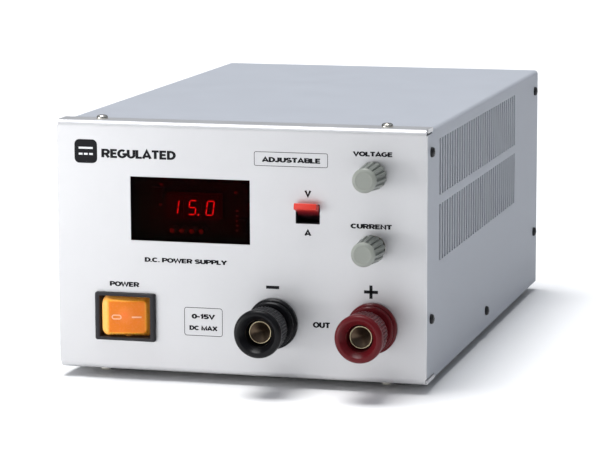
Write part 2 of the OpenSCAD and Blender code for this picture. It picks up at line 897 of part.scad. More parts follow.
// Winding round the core's middle leg
module transformer_winding() {
    color([0.8, 0.65, 0.2])
    at(0, core_y, board_top + core_size[2] / 2 + 1)
        difference() {
            linear_extrude(35.6, center = true) rounded_square(48, 58, 6);
            cube([20.2, core_size[1] + 0.2, 40], center = true);
        }
}

choke_at = [0, 215, board_top + 12.5];

module choke_core() {
    color([0.75, 0.75, 0.25])
    at(choke_at[0], choke_at[1], choke_at[2] - 8)
        difference() {
            cylinder(h = 16, d = 46);
            translate([0, 0, -1]) cylinder(h = 18, d = 24);
        }
}

// Turns of thick wire round the choke's ring
module choke_winding() {
    turns = 16;
    color([0.72, 0.4, 0.2])
    for (i = [0:turns - 1])
        at(choke_at[0], choke_at[1], choke_at[2])
            rotate([0, 0, i * 360 / turns])
                translate([17.5, 0, 0])
                    rotate([90, 0, 0])
                        linear_extrude(2.6, center = true)
                            difference() {
                                square([17, 21.6], center = true);
                                square([11.8, 16.4], center = true);
                            }
}

// Mains reservoir capacitors and the smaller output capacitors
module mains_capacitors() {
    color([0.12, 0.14, 0.3])
    union() {
        for (sx = [-1, 1])
            at(sx * 19, 92, board_top) cylinder(h = 44, d = 30);
        for (sx = [-1, 1], i = [0:1])
            at(sx * 33.5, 196 + i * 20, board_top) cylinder(h = 28, d = 14);
    }
}

// Interference filter near the mains inlet
module line_filter() {
    color([0.15, 0.15, 0.15])
    union() {
        block([42, 74], [248, 262], [board_top, board_top + 24]);
        block([-30, 0], [250, 262], [board_top, board_top + 18]);
    }
}

// Copper bars from the board to the output studs
module bus_bars() {
    bar_t = 2.5;
    bar_w = 14;
    color([0.8, 0.45, 0.28])
    for (place = [negative_at, positive_at])
        difference() {
            union() {
                block([place[0] - bar_w / 2, place[0] + bar_w / 2], [15.7, 15.7 + bar_t],
                      [board_top, place[1] + 9]);
                block([place[0] - bar_w / 2, place[0] + bar_w / 2], [15.7, 74],
                      [board_top, board_top + bar_t]);
            }
            bar_y(place, 15, 19, stud_hole_d);
        }
}

// ---- Rear ----

// Appliance inlet: flange, body, socket well with two cut corners and a fuse slot
module mains_inlet() {
    well_at = [inlet_at[0], inlet_at[1] + socket_rise];
    slot_at = [inlet_at[0], inlet_at[1] - drawer_drop];
    color([0.1, 0.1, 0.1])
    difference() {
        union() {
            in_depth(case_d, case_d + 3)
                translate(inlet_at) rounded_square(inlet_flange[0], inlet_flange[1], 2);
            in_depth(case_d - 26, case_d + eps)
                translate(inlet_at) square(inlet_body, center = true);
        }
        in_depth(case_d + 3 - socket_size[2], case_d + 4)
            translate(well_at)
                polygon([
                    [-socket_size[0] / 2, -socket_size[1] / 2],
                    [socket_size[0] / 2, -socket_size[1] / 2],
                    [socket_size[0] / 2, socket_size[1] / 2 - 4],
                    [socket_size[0] / 2 - 4, socket_size[1] / 2],
                    [-socket_size[0] / 2 + 4, socket_size[1] / 2],
                    [-socket_size[0] / 2, socket_size[1] / 2 - 4]
                ]);
        in_depth(case_d + 3 - drawer_size[2] - 0.4, case_d + 4)
            translate(slot_at) square([drawer_size[0] + 0.3, drawer_size[1] + 0.3], center = true);
        pin_bars();
    }
}

// The three flat pins, without their tabs
module pin_bars() {
    well_z = inlet_at[1] + socket_rise;
    for (p = pin_places)
        block([inlet_at[0] + p[0] - 1, inlet_at[0] + p[0] + 1], [case_d - 26.5, case_d - 1],
              [well_z + p[1] - 2, well_z + p[1] + 2]);
}

// The pins with their tabs inside the case
module inlet_pins() {
    well_z = inlet_at[1] + socket_rise;
    color([0.78, 0.74, 0.6]) {
        pin_bars();
        for (p = pin_places)
            block([inlet_at[0] + p[0] - 0.4, inlet_at[0] + p[0] + 0.4],
                  [case_d - 34, case_d - 26], [well_z + p[1] - 3.1, well_z + p[1] + 3.1]);
    }
}

// Drawer with a finger lip and a cradle for the fuse
module fuse_drawer() {
    slot_at = [inlet_at[0], inlet_at[1] - drawer_drop];
    color([0.13, 0.13, 0.13])
    difference() {
        union() {
            in_depth(case_d + 3 - drawer_size[2], case_d + 3)
                translate(slot_at) square([drawer_size[0], drawer_size[1]], center = true);
            in_depth(case_d + 3, case_d + rear_out)
                translate(slot_at) rounded_square(drawer_size[0] - 2, drawer_size[1] - 1, 1);
        }
        at(slot_at[0], case_d + 3 - drawer_size[2] / 2 - 1, slot_at[1] + 1)
            cube([20.6, 6, drawer_size[1]], center = true);
    }
}

// Glass fuse with its two end caps
module fuse() {
    color([0.8, 0.8, 0.82])
    at(inlet_at[0], case_d + 2 - drawer_size[2] / 2, inlet_at[1] - drawer_drop)
        rotate([0, 90, 0]) cylinder(h = 20, d = 5, center = true);
}

// Fan housing: square frame, round duct, four struts and a bearing boss
module fan_frame() {
    y0 = rear_y - fan_depth;
    color([0.1, 0.1, 0.1])
    difference() {
        union() {
            difference() {
                in_depth(y0, rear_y) translate(fan_at) rounded_square(fan_size, fan_size, 4);
                bar_y(fan_at, y0 - 1, rear_y + 1, duct_d);
            }
            intersection() {
                bar_y(fan_at, y0, y0 + 3, duct_d + 1);
                for (a = [45, 135])
                    at(fan_at[0], y0 + 1.5, fan_at[1])
                        rotate([0, a, 0]) cube([fan_size, 3, 5], center = true);
            }
            bar_y(fan_at, y0, y0 + 3, hub_d);
        }
        bar_y(fan_at, y0 - 1, y0 + 4, fan_pin_d + 0.1);
        for (sx = [-1, 1], sz = [-1, 1])
            bar_y(fan_at + [sx, sz] * fan_hole / 2, y0 - 1, rear_y + 1, 4.4);
    }
}

// Rotor: hub, seven pitched blades and its pin
module fan_rotor() {
    y0 = rear_y - fan_depth;
    blade_r = duct_d / 2 - 1;
    color([0.14, 0.14, 0.14])
    union() {
        bar_y(fan_at, y0 + 3.6, y0 + 21, hub_d);
        bar_y(fan_at, y0 + 0.2, y0 + 4, fan_pin_d);
        for (i = [0:6])
            at(fan_at[0], y0 + 12.3, fan_at[1])
                rotate([0, i * 360 / 7, 0])
                    translate([hub_d / 2 - 2, 0, 0])
                        rotate([38, 0, 0])
                            translate([0, -0.8, -10])
                                cube([blade_r - hub_d / 2 + 1, 1.6, 20]);
    }
}

// Flat finger guard of rings and spokes
module fan_guard() {
    guard_t = 1.5;
    color([0.75, 0.76, 0.78])
    difference() {
        in_depth(case_d, case_d + guard_t)
            translate(fan_at) {
                for (r = [8:7.5:38])
                    difference() {
                        circle(r + 1);
                        circle(r - 1);
                    }
                intersection() {
                    union() {
                        for (a = [45, 135])
                            rotate(a) square([fan_hole * sqrt(2) + 9, 3], center = true);
                    }
                    difference() {
                        circle(fan_hole * sqrt(2) / 2 + 4);
                        circle(7.5);
                    }
                }
                for (sx = [-1, 1], sz = [-1, 1])
                    translate([sx, sz] * fan_hole / 2) circle(4.5);
            }
        for (sx = [-1, 1], sz = [-1, 1])
            bar_y(fan_at + [sx, sz] * fan_hole / 2, case_d - 1, case_d + 3, 4.4);
    }
}

// Four screws through guard, rear panel and fan
module fan_screws() {
    color([0.8, 0.8, 0.8])
    for (sx = [-1, 1], sz = [-1, 1])
        at(fan_at[0] + sx * fan_hole / 2, case_d + 1.5, fan_at[1] + sz * fan_hole / 2)
            rotate([-90, 0, 0]) pan_screw(7, 2.2, 4, 14);
}

// Two mains leads from the inlet along the floor to the power switch
module inner_leads() {
    lead_r = 1.6;
    tab_x = inlet_at[0];
    tab_z = inlet_at[1] + socket_rise - 1.4;
    color([0.15, 0.25, 0.6])
    translate([0, face_y, foot_h])
        for (i = [0:1])
            wire([
                [tab_x - 7 + i * 14, case_d - 34, tab_z],
                [tab_x - 7 + i * 14, case_d - 37, tab_z],
                [tab_x - 6.5 + i * 13, case_d - 40, tab_z - 3],
                [tab_x - 4 + i * 12, case_d - 40, 52],
                [60 + i * 6, case_d - 34, 28],
                [74 + i * 6, case_d - 34, 10],
                [84.5 + i * 4.5, case_d - 39, 6.5],
                [85 + i * 4.5, case_d - 50, 5.6],
                [85 + i * 4.5, 58 - i * 3, 5.6],
                [81.5 + i * 4, 52 - i * 3.5, 5.6],
                [75 + i * 3, 50 - i * 4, 5.6],
                [-58 + i * 14, 50 - i * 4, 5.6],
                [-65 + i * 14, 48.5 - i * 3.5, 8],
                [-68 + i * 14, 45 - i * 2, 16],
                [-68 + i * 14, 40, 22],
                [-68 + i * 14, 37, 22.8],
                [-68 + i * 14, 34, 22.8]
            ], lead_r);
}

front_panel();
cover();
chassis_base();
front_rail();
rear_panel();
feet();
foot_screws();
cover_screws();
flange_screws();
display_window();
meter_board();
digit_modules();
meter_parts();
meter_spacers();
power_switch_body();
power_switch_tabs();
power_rocker();
rocker_lamp();
meter_switch_body();
meter_switch_tabs();
meter_lever();
voltage_pot();
current_pot();
voltage_shaft();
current_shaft();
pot_nuts();
voltage_knob();
current_knob();
voltage_knob_cap();
current_knob_cap();
negative_base();
positive_base();
negative_stud();
positive_stud();
post_rear_bushes();
post_nuts();
negative_ring();
positive_ring();
negative_cap();
positive_cap();
main_board();
board_spacers();
heat_sinks();
power_transistors();
transformer_core();
transformer_winding();
choke_core();
choke_winding();
mains_capacitors();
line_filter();
bus_bars();
mains_inlet();
inlet_pins();
fuse_drawer();
fuse();
fan_frame();
fan_rotor();
fan_guard();
fan_screws();
inner_leads();
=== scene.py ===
import math

import bmesh
import bpy
from mathutils import Matrix, Vector


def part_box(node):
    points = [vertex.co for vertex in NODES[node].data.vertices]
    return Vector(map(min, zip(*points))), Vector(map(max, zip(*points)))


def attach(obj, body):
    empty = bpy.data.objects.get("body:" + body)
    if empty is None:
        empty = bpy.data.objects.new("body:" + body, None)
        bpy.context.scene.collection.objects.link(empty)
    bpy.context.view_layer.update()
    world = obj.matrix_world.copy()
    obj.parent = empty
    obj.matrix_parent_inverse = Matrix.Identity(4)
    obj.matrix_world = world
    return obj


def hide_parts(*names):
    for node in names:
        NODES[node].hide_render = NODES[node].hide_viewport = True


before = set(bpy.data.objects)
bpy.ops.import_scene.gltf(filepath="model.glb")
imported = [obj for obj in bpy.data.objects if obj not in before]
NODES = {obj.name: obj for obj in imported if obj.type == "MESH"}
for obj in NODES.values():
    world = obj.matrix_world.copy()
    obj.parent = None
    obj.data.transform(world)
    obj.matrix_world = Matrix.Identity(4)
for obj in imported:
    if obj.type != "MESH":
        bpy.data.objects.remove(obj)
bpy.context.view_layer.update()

MM = 0.001
FACE_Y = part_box("front_panel")[0].y
BASE_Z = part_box("front_panel")[0].z
PANEL_H = ((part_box("front_panel")[1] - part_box("front_panel")[0]) / MM).z


def middle(node):
    """The middle of a CAD node in mm: across, behind the panel's face, above its bottom."""
    low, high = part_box(node)
    c = (low + high) / 2
    return c.x / MM, (c.y - FACE_Y) / MM, (c.z - BASE_Z) / MM


def front_of(node):
    return (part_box(node)[0].y - FACE_Y) / MM


def back_of(node):
    return (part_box(node)[1].y - FACE_Y) / MM


def point(x, y, z):
    """The place x across, y behind the panel's face and z above its bottom, from mm."""
    return Vector((x * MM, FACE_Y + y * MM, BASE_Z + z * MM))


def on_panel(depth):
    """Stands local X and Y up as the panel's width and height, at a depth in mm behind its face."""
    return (Matrix.Translation((0, FACE_Y + depth * MM, BASE_Z))
            @ Matrix.Rotation(math.pi / 2, 4, "X"))


# ---------------------------------------------------------------- materials


class Graph:
    """A material's node tree with short ways to add noise, mixes and bumps."""

    def __init__(self, name):
        self.material = bpy.data.materials.new(name)
        self.material.use_nodes = True
        self.tree = self.material.node_tree
        self.shader = self.tree.nodes["Principled BSDF"]
        self.where = self.node("ShaderNodeTexCoord").outputs["Object"]

    def node(self, kind, **settings):
        n = self.tree.nodes.new(kind)
        for key, value in settings.items():
            setattr(n, key, value)
        return n

    def link(self, source, target):
        self.tree.links.new(source, target)

    def put(self, socket, value):
        """Sets a socket of the shader, from a number, a colour or another node's output."""
        target = self.shader.inputs[socket]
        if isinstance(value, bpy.types.NodeSocket):
            self.link(value, target)
        elif isinstance(value, (tuple, list)):
            target.default_value = (*value[:3], 1.0)
        else:
            target.default_value = value

    def stretched(self, scale):
        n = self.node("ShaderNodeMapping")
        n.inputs["Scale"].default_value = scale
        self.link(self.where, n.inputs["Vector"])
        return n.outputs["Vector"]

    def noise(self, scale, detail=3.0, roughness=0.5, stretch=None):
        n = self.node("ShaderNodeTexNoise")
        n.inputs["Scale"].default_value = scale
        n.inputs["Detail"].default_value = detail
        n.inputs["Roughness"].default_value = roughness
        self.link(self.stretched(stretch) if stretch else self.where, n.inputs["Vector"])
        return n.outputs["Fac"]

    def span(self, source, low, high, source_low=0.3, source_high=0.7):
        n = self.node("ShaderNodeMapRange")
        for key, value in zip(("From Min", "From Max", "To Min", "To Max"),
                              (source_low, source_high, low, high)):
            n.inputs[key].default_value = value
        self.link(source, n.inputs["Value"])
        return n.outputs["Result"]

    def ramp(self, source, *stops):
        n = self.node("ShaderNodeValToRGB")
        elements = n.color_ramp.elements
        while len(elements) < len(stops):
            elements.new(0.5)
        for element, (place, colour) in zip(elements, stops):
            element.position = place
            element.color = (*colour, 1.0)
        self.link(source, n.inputs["Fac"])
        return n.outputs["Color"]

    def math(self, operation, a, b=0.0):
        n = self.node("ShaderNodeMath", operation=operation)
        for socket, value in zip(n.inputs, (a, b)):
            if isinstance(value, bpy.types.NodeSocket):
                self.link(value, socket)
            else:
                socket.default_value = value
        return n.outputs["Value"]

    def bump(self, height, distance, strength=1.0):
        n = self.node("ShaderNodeBump")
        n.inputs["Distance"].default_value = distance * MM
        n.inputs["Strength"].default_value = strength
        self.link(height, n.inputs["Height"])
        self.link(n.outputs["Normal"], self.shader.inputs["Normal"])
        return n.outputs["Normal"]


def shade(colour, factor):
    return tuple(min(1.0, c * factor) for c in colour)


def finish(name, colour, rough, metal=0.0, tone=0.08, grain=900.0, relief=0.02, stretch=None,
           **sockets):
    """A procedural finish: mottled colour, uneven roughness and a fine relief."""
    g = Graph(name)
    broad = g.noise(38.0, 4.0)
    fine = g.noise(grain, 4.0, 0.6, stretch)
    g.put("Base Color",
          g.ramp(g.math("ADD", g.math("MULTIPLY", broad, 0.6), g.math("MULTIPLY", fine, 0.4)),
                               (0.3, shade(colour, 1 - tone)), (0.7, shade(colour, 1 + tone))))
    g.put("Roughness",
          g.span(g.math("ADD", g.math("MULTIPLY", broad, 0.5), g.math("MULTIPLY", fine, 0.5)),
                              rough * 0.88, min(1.0, rough * 1.12)))
    g.put("Metallic", metal)
    for key, value in sockets.items():
        g.put(key.replace("_", " "), value)
    g.bump(fine, relief)
    return g.material


ALUMINIUM = finish("satin_aluminium", (0.60, 0.60, 0.61), 0.42, 0.6, 0.02, 1400.0, 0.006)
PAINT = finish("metallic_paint", (0.42, 0.44, 0.48), 0.6, 0.0, 0.03, 1500.0, 0.02,
               Specular_IOR_Level=0.15)
ZINC = finish("zinc_plate", (0.55, 0.55, 0.52), 0.4, 1.0, 0.1, 700.0, 0.01)
RUBBER = finish("foot_rubber", (0.02, 0.02, 0.02), 0.7, 0.0, 0.15, 1800.0, 0.03)
BLACK_OXIDE = finish("black_oxide", (0.02, 0.02, 0.022), 0.38, 0.6, 0.15, 1600.0, 0.01)
NICKEL = finish("nickel_plate", (0.72, 0.69, 0.62), 0.22, 1.0, 0.06, 1200.0, 0.006)
# Stud coloured much darker than its brass rims: painted shade of the post's mouth on the stud
STUD_METAL = finish("stud_brass", (0.11, 0.08, 0.055), 0.3, 1.0, 0.08, 1500.0, 0.006)
BOARD = finish("solder_mask", (0.02, 0.10, 0.05), 0.35, 0.0, 0.35, 520.0, 0.03, (1.0, 1.0, 6.0))
COMPONENT = finish("moulded_epoxy", (0.03, 0.03, 0.03), 0.5, 0.0, 0.2, 1500.0, 0.02)
BRASS = finish("tinned_brass", (0.75, 0.66, 0.42), 0.3, 1.0, 0.08, 900.0, 0.01)
SWITCH = finish("switch_black", (0.020, 0.019, 0.022), 0.5, 0.0, 0.15, 2000.0, 0.015,
                Specular_IOR_Level=0.26)
KNOB = finish("knob_grey", (0.17, 0.185, 0.165), 0.4, 0.0, 0.06, 2200.0, 0.015)
KNOB_CAP = finish("knob_cap_grey", (0.26, 0.275, 0.245), 0.3, 0.0, 0.05, 2200.0, 0.012)
POST_BLACK = finish("post_black", (0.005, 0.005, 0.006), 0.3, 0.0, 0.15, 1900.0, 0.01,
                    Specular_IOR_Level=0.16)
POST_RED = finish("post_red", (0.10, 0.006, 0.009), 0.3, 0.0, 0.12, 1900.0, 0.01,
                  Specular_IOR_Level=0.18)
# Heat sinks coloured near black so the vent slots show dark: painted shade of the case's inside
SINK = finish("sink_extrusion", (0.03, 0.03, 0.033), 0.5, 0.0, 0.06, 900.0, 0.01, (1.0, 0.05, 1.0))
FERRITE = finish("ferrite", (0.06, 0.06, 0.065), 0.6, 0.0, 0.15, 900.0, 0.03)
TAPE = finish("winding_tape", (0.7, 0.5, 0.08), 0.3, 0.0, 0.08, 300.0, 0.03, (1.0, 1.0, 8.0))
RING_CORE = finish("core_coating", (0.55, 0.53, 0.06), 0.5, 0.0, 0.1, 900.0, 0.03)
COPPER = finish("enamelled_copper", (0.62, 0.24, 0.11), 0.3, 1.0, 0.1, 900.0, 0.01)
SLEEVE = finish("capacitor_sleeve", (0.03, 0.04, 0.14), 0.3, 0.0, 0.1, 500.0, 0.01)
FAN = finish("fan_plastic", (0.025, 0.025, 0.026), 0.45, 0.0, 0.15, 1800.0, 0.02)
GUARD = finish("guard_wire", (0.7, 0.7, 0.7), 0.25, 1.0, 0.06, 1100.0, 0.01)
LEAD = finish("lead_insulation", (0.03, 0.07, 0.3), 0.45, 0.0, 0.08, 1000.0, 0.02)
LEGEND = finish("legend_ink", (0.008, 0.008, 0.010), 0.6, 0.0, 0.2, 1500.0, 0.004,
                Specular_IOR_Level=0.15)
MARK = finish("mark_white", (0.85, 0.48, 0.30), 0.45, 0.0, 0.04, 1800.0, 0.01,
              Emission_Color=(1.0, 0.42, 0.25), Emission_Strength=0.12)
LIT = finish("segment_lit", (0.5, 0.02, 0.02), 0.4, 0.0, 0.05, 900.0, 0.01,
             Emission_Color=(1.0, 0.16, 0.16), Emission_Strength=4.2)
SIGN = finish("sign_ink", (0.82, 0.83, 0.84), 0.45, 0.0, 0.03, 1500.0, 0.004)
UNLIT = finish("segment_unlit", (0.10, 0.015, 0.015), 0.5, 0.0, 0.08, 900.0, 0.01)
DIGIT_FACE = finish("digit_face", (0.03, 0.012, 0.012), 0.45, 0.0, 0.1, 1200.0, 0.01,
                    Emission_Color=(1.0, 0.03, 0.04), Emission_Strength=0.02)


def filter_material():
    g = Graph("red_filter")
    wave = g.noise(26.0, 2.0)
    g.put("Base Color", g.ramp(wave, (0.3, (0.22, 0.006, 0.008)), (0.7, (0.27, 0.008, 0.010))))
    g.put("Transmission Weight", 1.0)
    g.put("Roughness", g.span(wave, 0.02, 0.06))
    g.put("IOR", 1.06)
    return g.material


def glass_material():
    g = Graph("clear_glass")
    wave = g.noise(200.0, 2.0)
    g.put("Base Color", g.ramp(wave, (0.3, (0.93, 0.95, 0.95)), (0.7, (0.98, 0.99, 0.99))))
    g.put("Transmission Weight", 1.0)
    g.put("Roughness", g.span(wave, 0.02, 0.05))
    return g.material


def rocker_material():
    """Amber plastic lit by the lamp behind its middle; its paler edges are a painted highlight, and
    its left bevel has a painted glow for the light from the left.
    """
    g = Graph("amber_rocker")
    here = g.node("ShaderNodeVectorMath", operation="SUBTRACT")
    g.link(g.where, here.inputs[0])
    here.inputs[1].default_value = point(-60.9, 0, 28.1)
    part = g.node("ShaderNodeSeparateXYZ")
    g.link(here.outputs["Vector"], part.inputs[0])
    left = g.math("DIVIDE", part.outputs["X"], -0.0096)
    right = g.math("DIVIDE", part.outputs["X"], 0.0120)
    upward = g.math("DIVIDE", g.math("ABSOLUTE", part.outputs["Z"]), 0.0094)
    edge = g.math("ADD", g.math("MAXIMUM", g.math("MAXIMUM", left, right), upward),
                  g.math("MULTIPLY", g.noise(260.0, 2.0), 0.04))
    # Paler base colour towards the edges: painted highlight where light catches the bevels
    g.put("Base Color", g.ramp(edge, (0.0, (0.72, 0.17, 0.010)), (0.84, (0.74, 0.19, 0.010)),
                               (0.93, (0.90, 0.40, 0.04)), (1.0, (0.90, 0.44, 0.09))))
    spot = g.node("ShaderNodeVectorMath", operation="DISTANCE")
    g.link(g.where, spot.inputs[0])
    spot.inputs[1].default_value = point(-60.6, -2.6, 29.0)
    near = g.span(spot.outputs["Value"], 1.0, 0.0, 0.001, 0.0055)
    # Left-edge mask: the extra glow on the left bevel is painted light from the left, not the
    # rocker's lamp
    bevel = g.span(part.outputs["X"], 0.0, 1.0, -0.0084, -0.0098)
    g.put("Emission Color",
          g.ramp(g.math("ADD", near, g.math("MULTIPLY", bevel, 0.5)), (0.0, (0.9, 0.25, 0.01)),
                                   (0.5, (1.0, 0.42, 0.14)), (1.0, (1.0, 0.20, 0.12))))
    g.put("Emission Strength", g.math("ADD", 0.07, g.math("ADD", g.math("MULTIPLY", near, 0.12),
                                                          g.math("MULTIPLY", bevel, 0.22))))
    g.put("Roughness", g.span(g.noise(900.0), 0.22, 0.3))
    g.put("Subsurface Weight", 0.25)
    g.put("Subsurface Scale", 0.003)
    g.put("Specular IOR Level", 0.25)
    g.bump(g.noise(700.0, 2.0), 0.01)
    return g.material


def lever_material():
    """Red plastic with painted shade: darker towards the pivot, where the switch's throat shades
    it.
    """
    g = Graph("lever_red")
    up = g.node("ShaderNodeSeparateXYZ")
    g.link(g.where, up.inputs[0])
    z = middle("meter_switch_body")[2]
    low, high = point(0, 0, z - 1.5)[2], point(0, 0, z + 3.6)[2]
    level = g.math("ADD", up.outputs["Z"], g.math("MULTIPLY", g.noise(700.0), 0.0004))
    # Colour by height: near black at the pivot up to bright red at the tip, painted shade of the
    # throat
    g.put("Base Color", g.ramp(g.span(level, 0.0, 1.0, low, high), (0.0, (0.012, 0.006, 0.008)),
                               (0.55, (0.20, 0.008, 0.014)), (1.0, (0.62, 0.032, 0.018))))
    g.put("Roughness", g.span(g.noise(1500.0), 0.3, 0.42))
    g.bump(g.noise(1800.0), 0.01)
    return g.material


FILTER = filter_material()
LEVER = lever_material()
CLEAR = glass_material()
AMBER = rocker_material()

CARRIED_OVER = {
    ALUMINIUM: ["front_panel"],
    PAINT: ["cover", "rear_panel"],
    ZINC: ["chassis_base", "front_rail", "voltage_pot", "current_pot"],
    NICKEL: ["foot_screws", "pot_nuts", "post_nuts", "voltage_shaft", "current_shaft"],
    BOARD: ["meter_board", "main_board"],
    COMPONENT: ["meter_parts", "power_transistors", "line_filter", "post_rear_bushes"],
    BRASS: ["meter_spacers", "power_switch_tabs", "meter_switch_tabs", "board_spacers",
            "inlet_pins"],
    SWITCH: ["meter_switch_body", "mains_inlet", "fuse_drawer"],
    CLEAR: ["rocker_lamp", "fuse"],
    FILTER: ["display_window"],
    DIGIT_FACE: ["digit_modules"],
    POST_BLACK: ["negative_base", "negative_ring"],
    POST_RED: ["positive_base", "positive_ring"],
    STUD_METAL: ["negative_stud", "positive_stud"],
    SINK: ["heat_sinks"],
    FERRITE: ["transformer_core"],
    TAPE: ["transformer_winding"],
    RING_CORE: ["choke_core"],
    COPPER: ["choke_winding", "bus_bars"],
    SLEEVE: ["mains_capacitors"],
    FAN: ["fan_frame", "fan_rotor"],
    LEAD: ["inner_leads"],
}

for material, names in CARRIED_OVER.items():
    for name in names:
        slots = NODES[name].data.materials
        slots.clear()
        slots.append(material)


# ---------------------------------------------------------------- shapes


def piece(name, bm, material, body="case", stands_for=(), sharp=38.0):
    """Turns mesh code into a piece on a body, smooth but for edges over the given angle."""
    bmesh.ops.recalc_face_normals(bm, faces=bm.faces)
    mesh = bpy.data.meshes.new(name)
    bm.to_mesh(mesh)
    bm.free()
    for polygon in mesh.polygons:
        polygon.use_smooth = True
    mesh.set_sharp_from_angle(angle=math.radians(sharp))
    mesh.materials.append(material)
    o = bpy.data.objects.new(name, mesh)
    bpy.context.scene.collection.objects.link(o)
    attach(o, body)
    if stands_for:
        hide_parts(*stands_for)
    return o


def loft(rows, closed=False):
    """A closed mesh through rows of points in mm: single points, or loops of equal counts."""
    bm = bmesh.new()
    made = [[bm.verts.new(Vector(p) * MM) for p in row] for row in rows]
    for a, b in zip(made, made[1:] + (made[:1] if closed else [])):
        n = max(len(a), len(b))
        if n < 3:
            continue
        for k in range(n):
            m = (k + 1) % n
            corners = [a[k % len(a)], a[m % len(a)], b[m % len(b)], b[k % len(b)]]
            unique = [v for i, v in enumerate(corners) if v not in corners[:i]]
            bm.faces.new(unique)
    return bm


def circle(r, height, steps=96, relief=None):
    out = []
    for k in range(steps):
        a = 2 * math.pi * k / steps
        rr = r + (relief(a) if relief else 0.0)
        out.append((rr * math.cos(a), rr * math.sin(a), height))
    return out


def turned(profile, steps=96, relief=None, closed=False):
    """A solid turned about local Z from (radius, height); relief(row, angle) adds to it."""
    rows = []
    for i, (r, h) in enumerate(profile):
        if r < 1e-6:
            rows.append([(0, 0, h)])
        else:
            rows.append(circle(r, h, steps, (lambda a, i=i: relief(i, a)) if relief else None))
    return loft(rows, closed)


def softened(profile, radius, segments=3):
    """Rounds a profile's corners as far as its sides allow; its two end points stay."""
    out = [tuple(profile[0])]
    for before, p, after in zip(profile, profile[1:], profile[2:]):
        p, a, b = Vector(p), Vector(before) - Vector(p), Vector(after) - Vector(p)
        turn = a.angle(b, math.pi)
        if turn > math.radians(172):
            out.append(tuple(p))
            continue
        cut = min(radius / math.tan(turn / 2), a.length * 0.45, b.length * 0.45)
        start, end = p + a.normalized() * cut, p + b.normalized() * cut
        for s in range(segments + 1):
            t = s / segments
            out.append(tuple(start * (1 - t) ** 2 + p * 2 * t * (1 - t) + end * t ** 2))
    out.append(tuple(profile[-1]))
    return out


def rounded_loop(w, h, r, height, corner=6, side=4):
    """A rounded rectangle as a loop at a local height, with points along its sides too."""
    out = []
    ends = ((w / 2 - r, h / 2 - r, 0), (-w / 2 + r, h / 2 - r, 90),
            (-w / 2 + r, -h / 2 + r, 180), (w / 2 - r, -h / 2 + r, 270))
    for i, (cx, cy, start) in enumerate(ends):
        for s in range(corner + 1):
            a = math.radians(start + 90 * s / corner)
            out.append((cx + r * math.cos(a), cy + r * math.sin(a), height))
        nx, ny, nstart = ends[(i + 1) % 4]
        last = Vector(out[-1])
        first = Vector((nx + r * math.cos(math.radians(nstart)),
                        ny + r * math.sin(math.radians(nstart)), height))
        for s in range(1, side):
            out.append(tuple(last.lerp(first, s / side)))
    return out


def block(size, centre=(0, 0, 0), bevel=0.0, segments=2):
    """A box with softened edges, in mm."""
    bm = bmesh.new()
    bmesh.ops.create_cube(bm, size=1.0)
    bmesh.ops.scale(bm, vec=[s * MM for s in size], verts=bm.verts)
    if bevel:
        bmesh.ops.bevel(bm, geom=list(bm.edges), offset=bevel * MM, segments=segments,
                        affect="EDGES",
                        profile=0.5, clamp_overlap=True)
    bmesh.ops.translate(bm, vec=[c * MM for c in centre], verts=bm.verts)
    return bm


def moved(bm, matrix):
    bmesh.ops.transform(bm, matrix=matrix, verts=bm.verts)
    return bm


def joined(*parts):
    """One mesh that holds all the given ones."""
    bm = bmesh.new()
    for other in parts:
        mesh = bpy.data.meshes.new("part")
        other.to_mesh(mesh)
        other.free()
        bm.from_mesh(mesh)
        bpy.data.meshes.remove(mesh)
    return bm


def copies(bm, matrices):
    out = joined(*(moved(bm.copy(), m) for m in matrices))
    bm.free()
    return out


def combined(a, b, operation="DIFFERENCE"):
    """The exact boolean of two closed meshes."""
    objects = []
    for source in (a, b):
        mesh = bpy.data.meshes.new("tool")
        source.to_mesh(mesh)
        source.free()
        o = bpy.data.objects.new("tool", mesh)
        bpy.context.scene.collection.objects.link(o)
        objects.append(o)
    boolean = objects[0].modifiers.new("boolean", "BOOLEAN")
    boolean.operation = operation
    boolean.object = objects[1]
    boolean.solver = "EXACT"
    bpy.context.view_layer.update()
    result = bmesh.new()
    result.from_mesh(objects[0].evaluated_get(bpy.context.evaluated_depsgraph_get()).to_mesh())
    for o in objects:
        bpy.data.objects.remove(o)
    return result


def outward(x, y, z):
    """Local Z points out of the panel, local X to the right and local Y up."""
    return Matrix.Translation(point(x, y, z)) @ Matrix.Rotation(math.pi / 2, 4, "X")


# ---------------------------------------------------------------- screws and feet


def cross_screw(head_d, head_h, recess):
    """A pan head with a cross recess; its seat is at local height 0."""
    r = head_d / 2
    head = turned([(0, 0), (r * 0.96, 0), (r, head_h * 0.25), (r * 0.95, head_h * 0.55),
                   (r * 0.84, head_h * 0.8),
                   (r * 0.62, head_h * 0.95), (r * 0.3, head_h), (0, head_h)], 40)
    arms = []
    for turn in (0.0, math.pi / 2):
        arm = block((recess, recess * 0.26, head_h), (0, 0, head_h + 0.01 * turn))
        for v in arm.verts:
            if v.co.z < head_h * MM:
                v.co.x *= 0.45
        arms.append(moved(arm, Matrix.Rotation(turn, 4, "Z")))
    return combined(head, combined(*arms, "UNION"))


# Depth and height of the cover's screws, the same on both sides
SIDE_SCREWS = [(12.5, 116.5), (12.5, 31.8), (298.5, 116.5), (298.5, 31.8), (154.5, 10.0)]
# Across and depth of the feet
FEET = [(x, y) for y in (30, 279) for x in (-79, 79)]
# Half the distance from one fan screw to the next
GUARD_HALF = 35.75


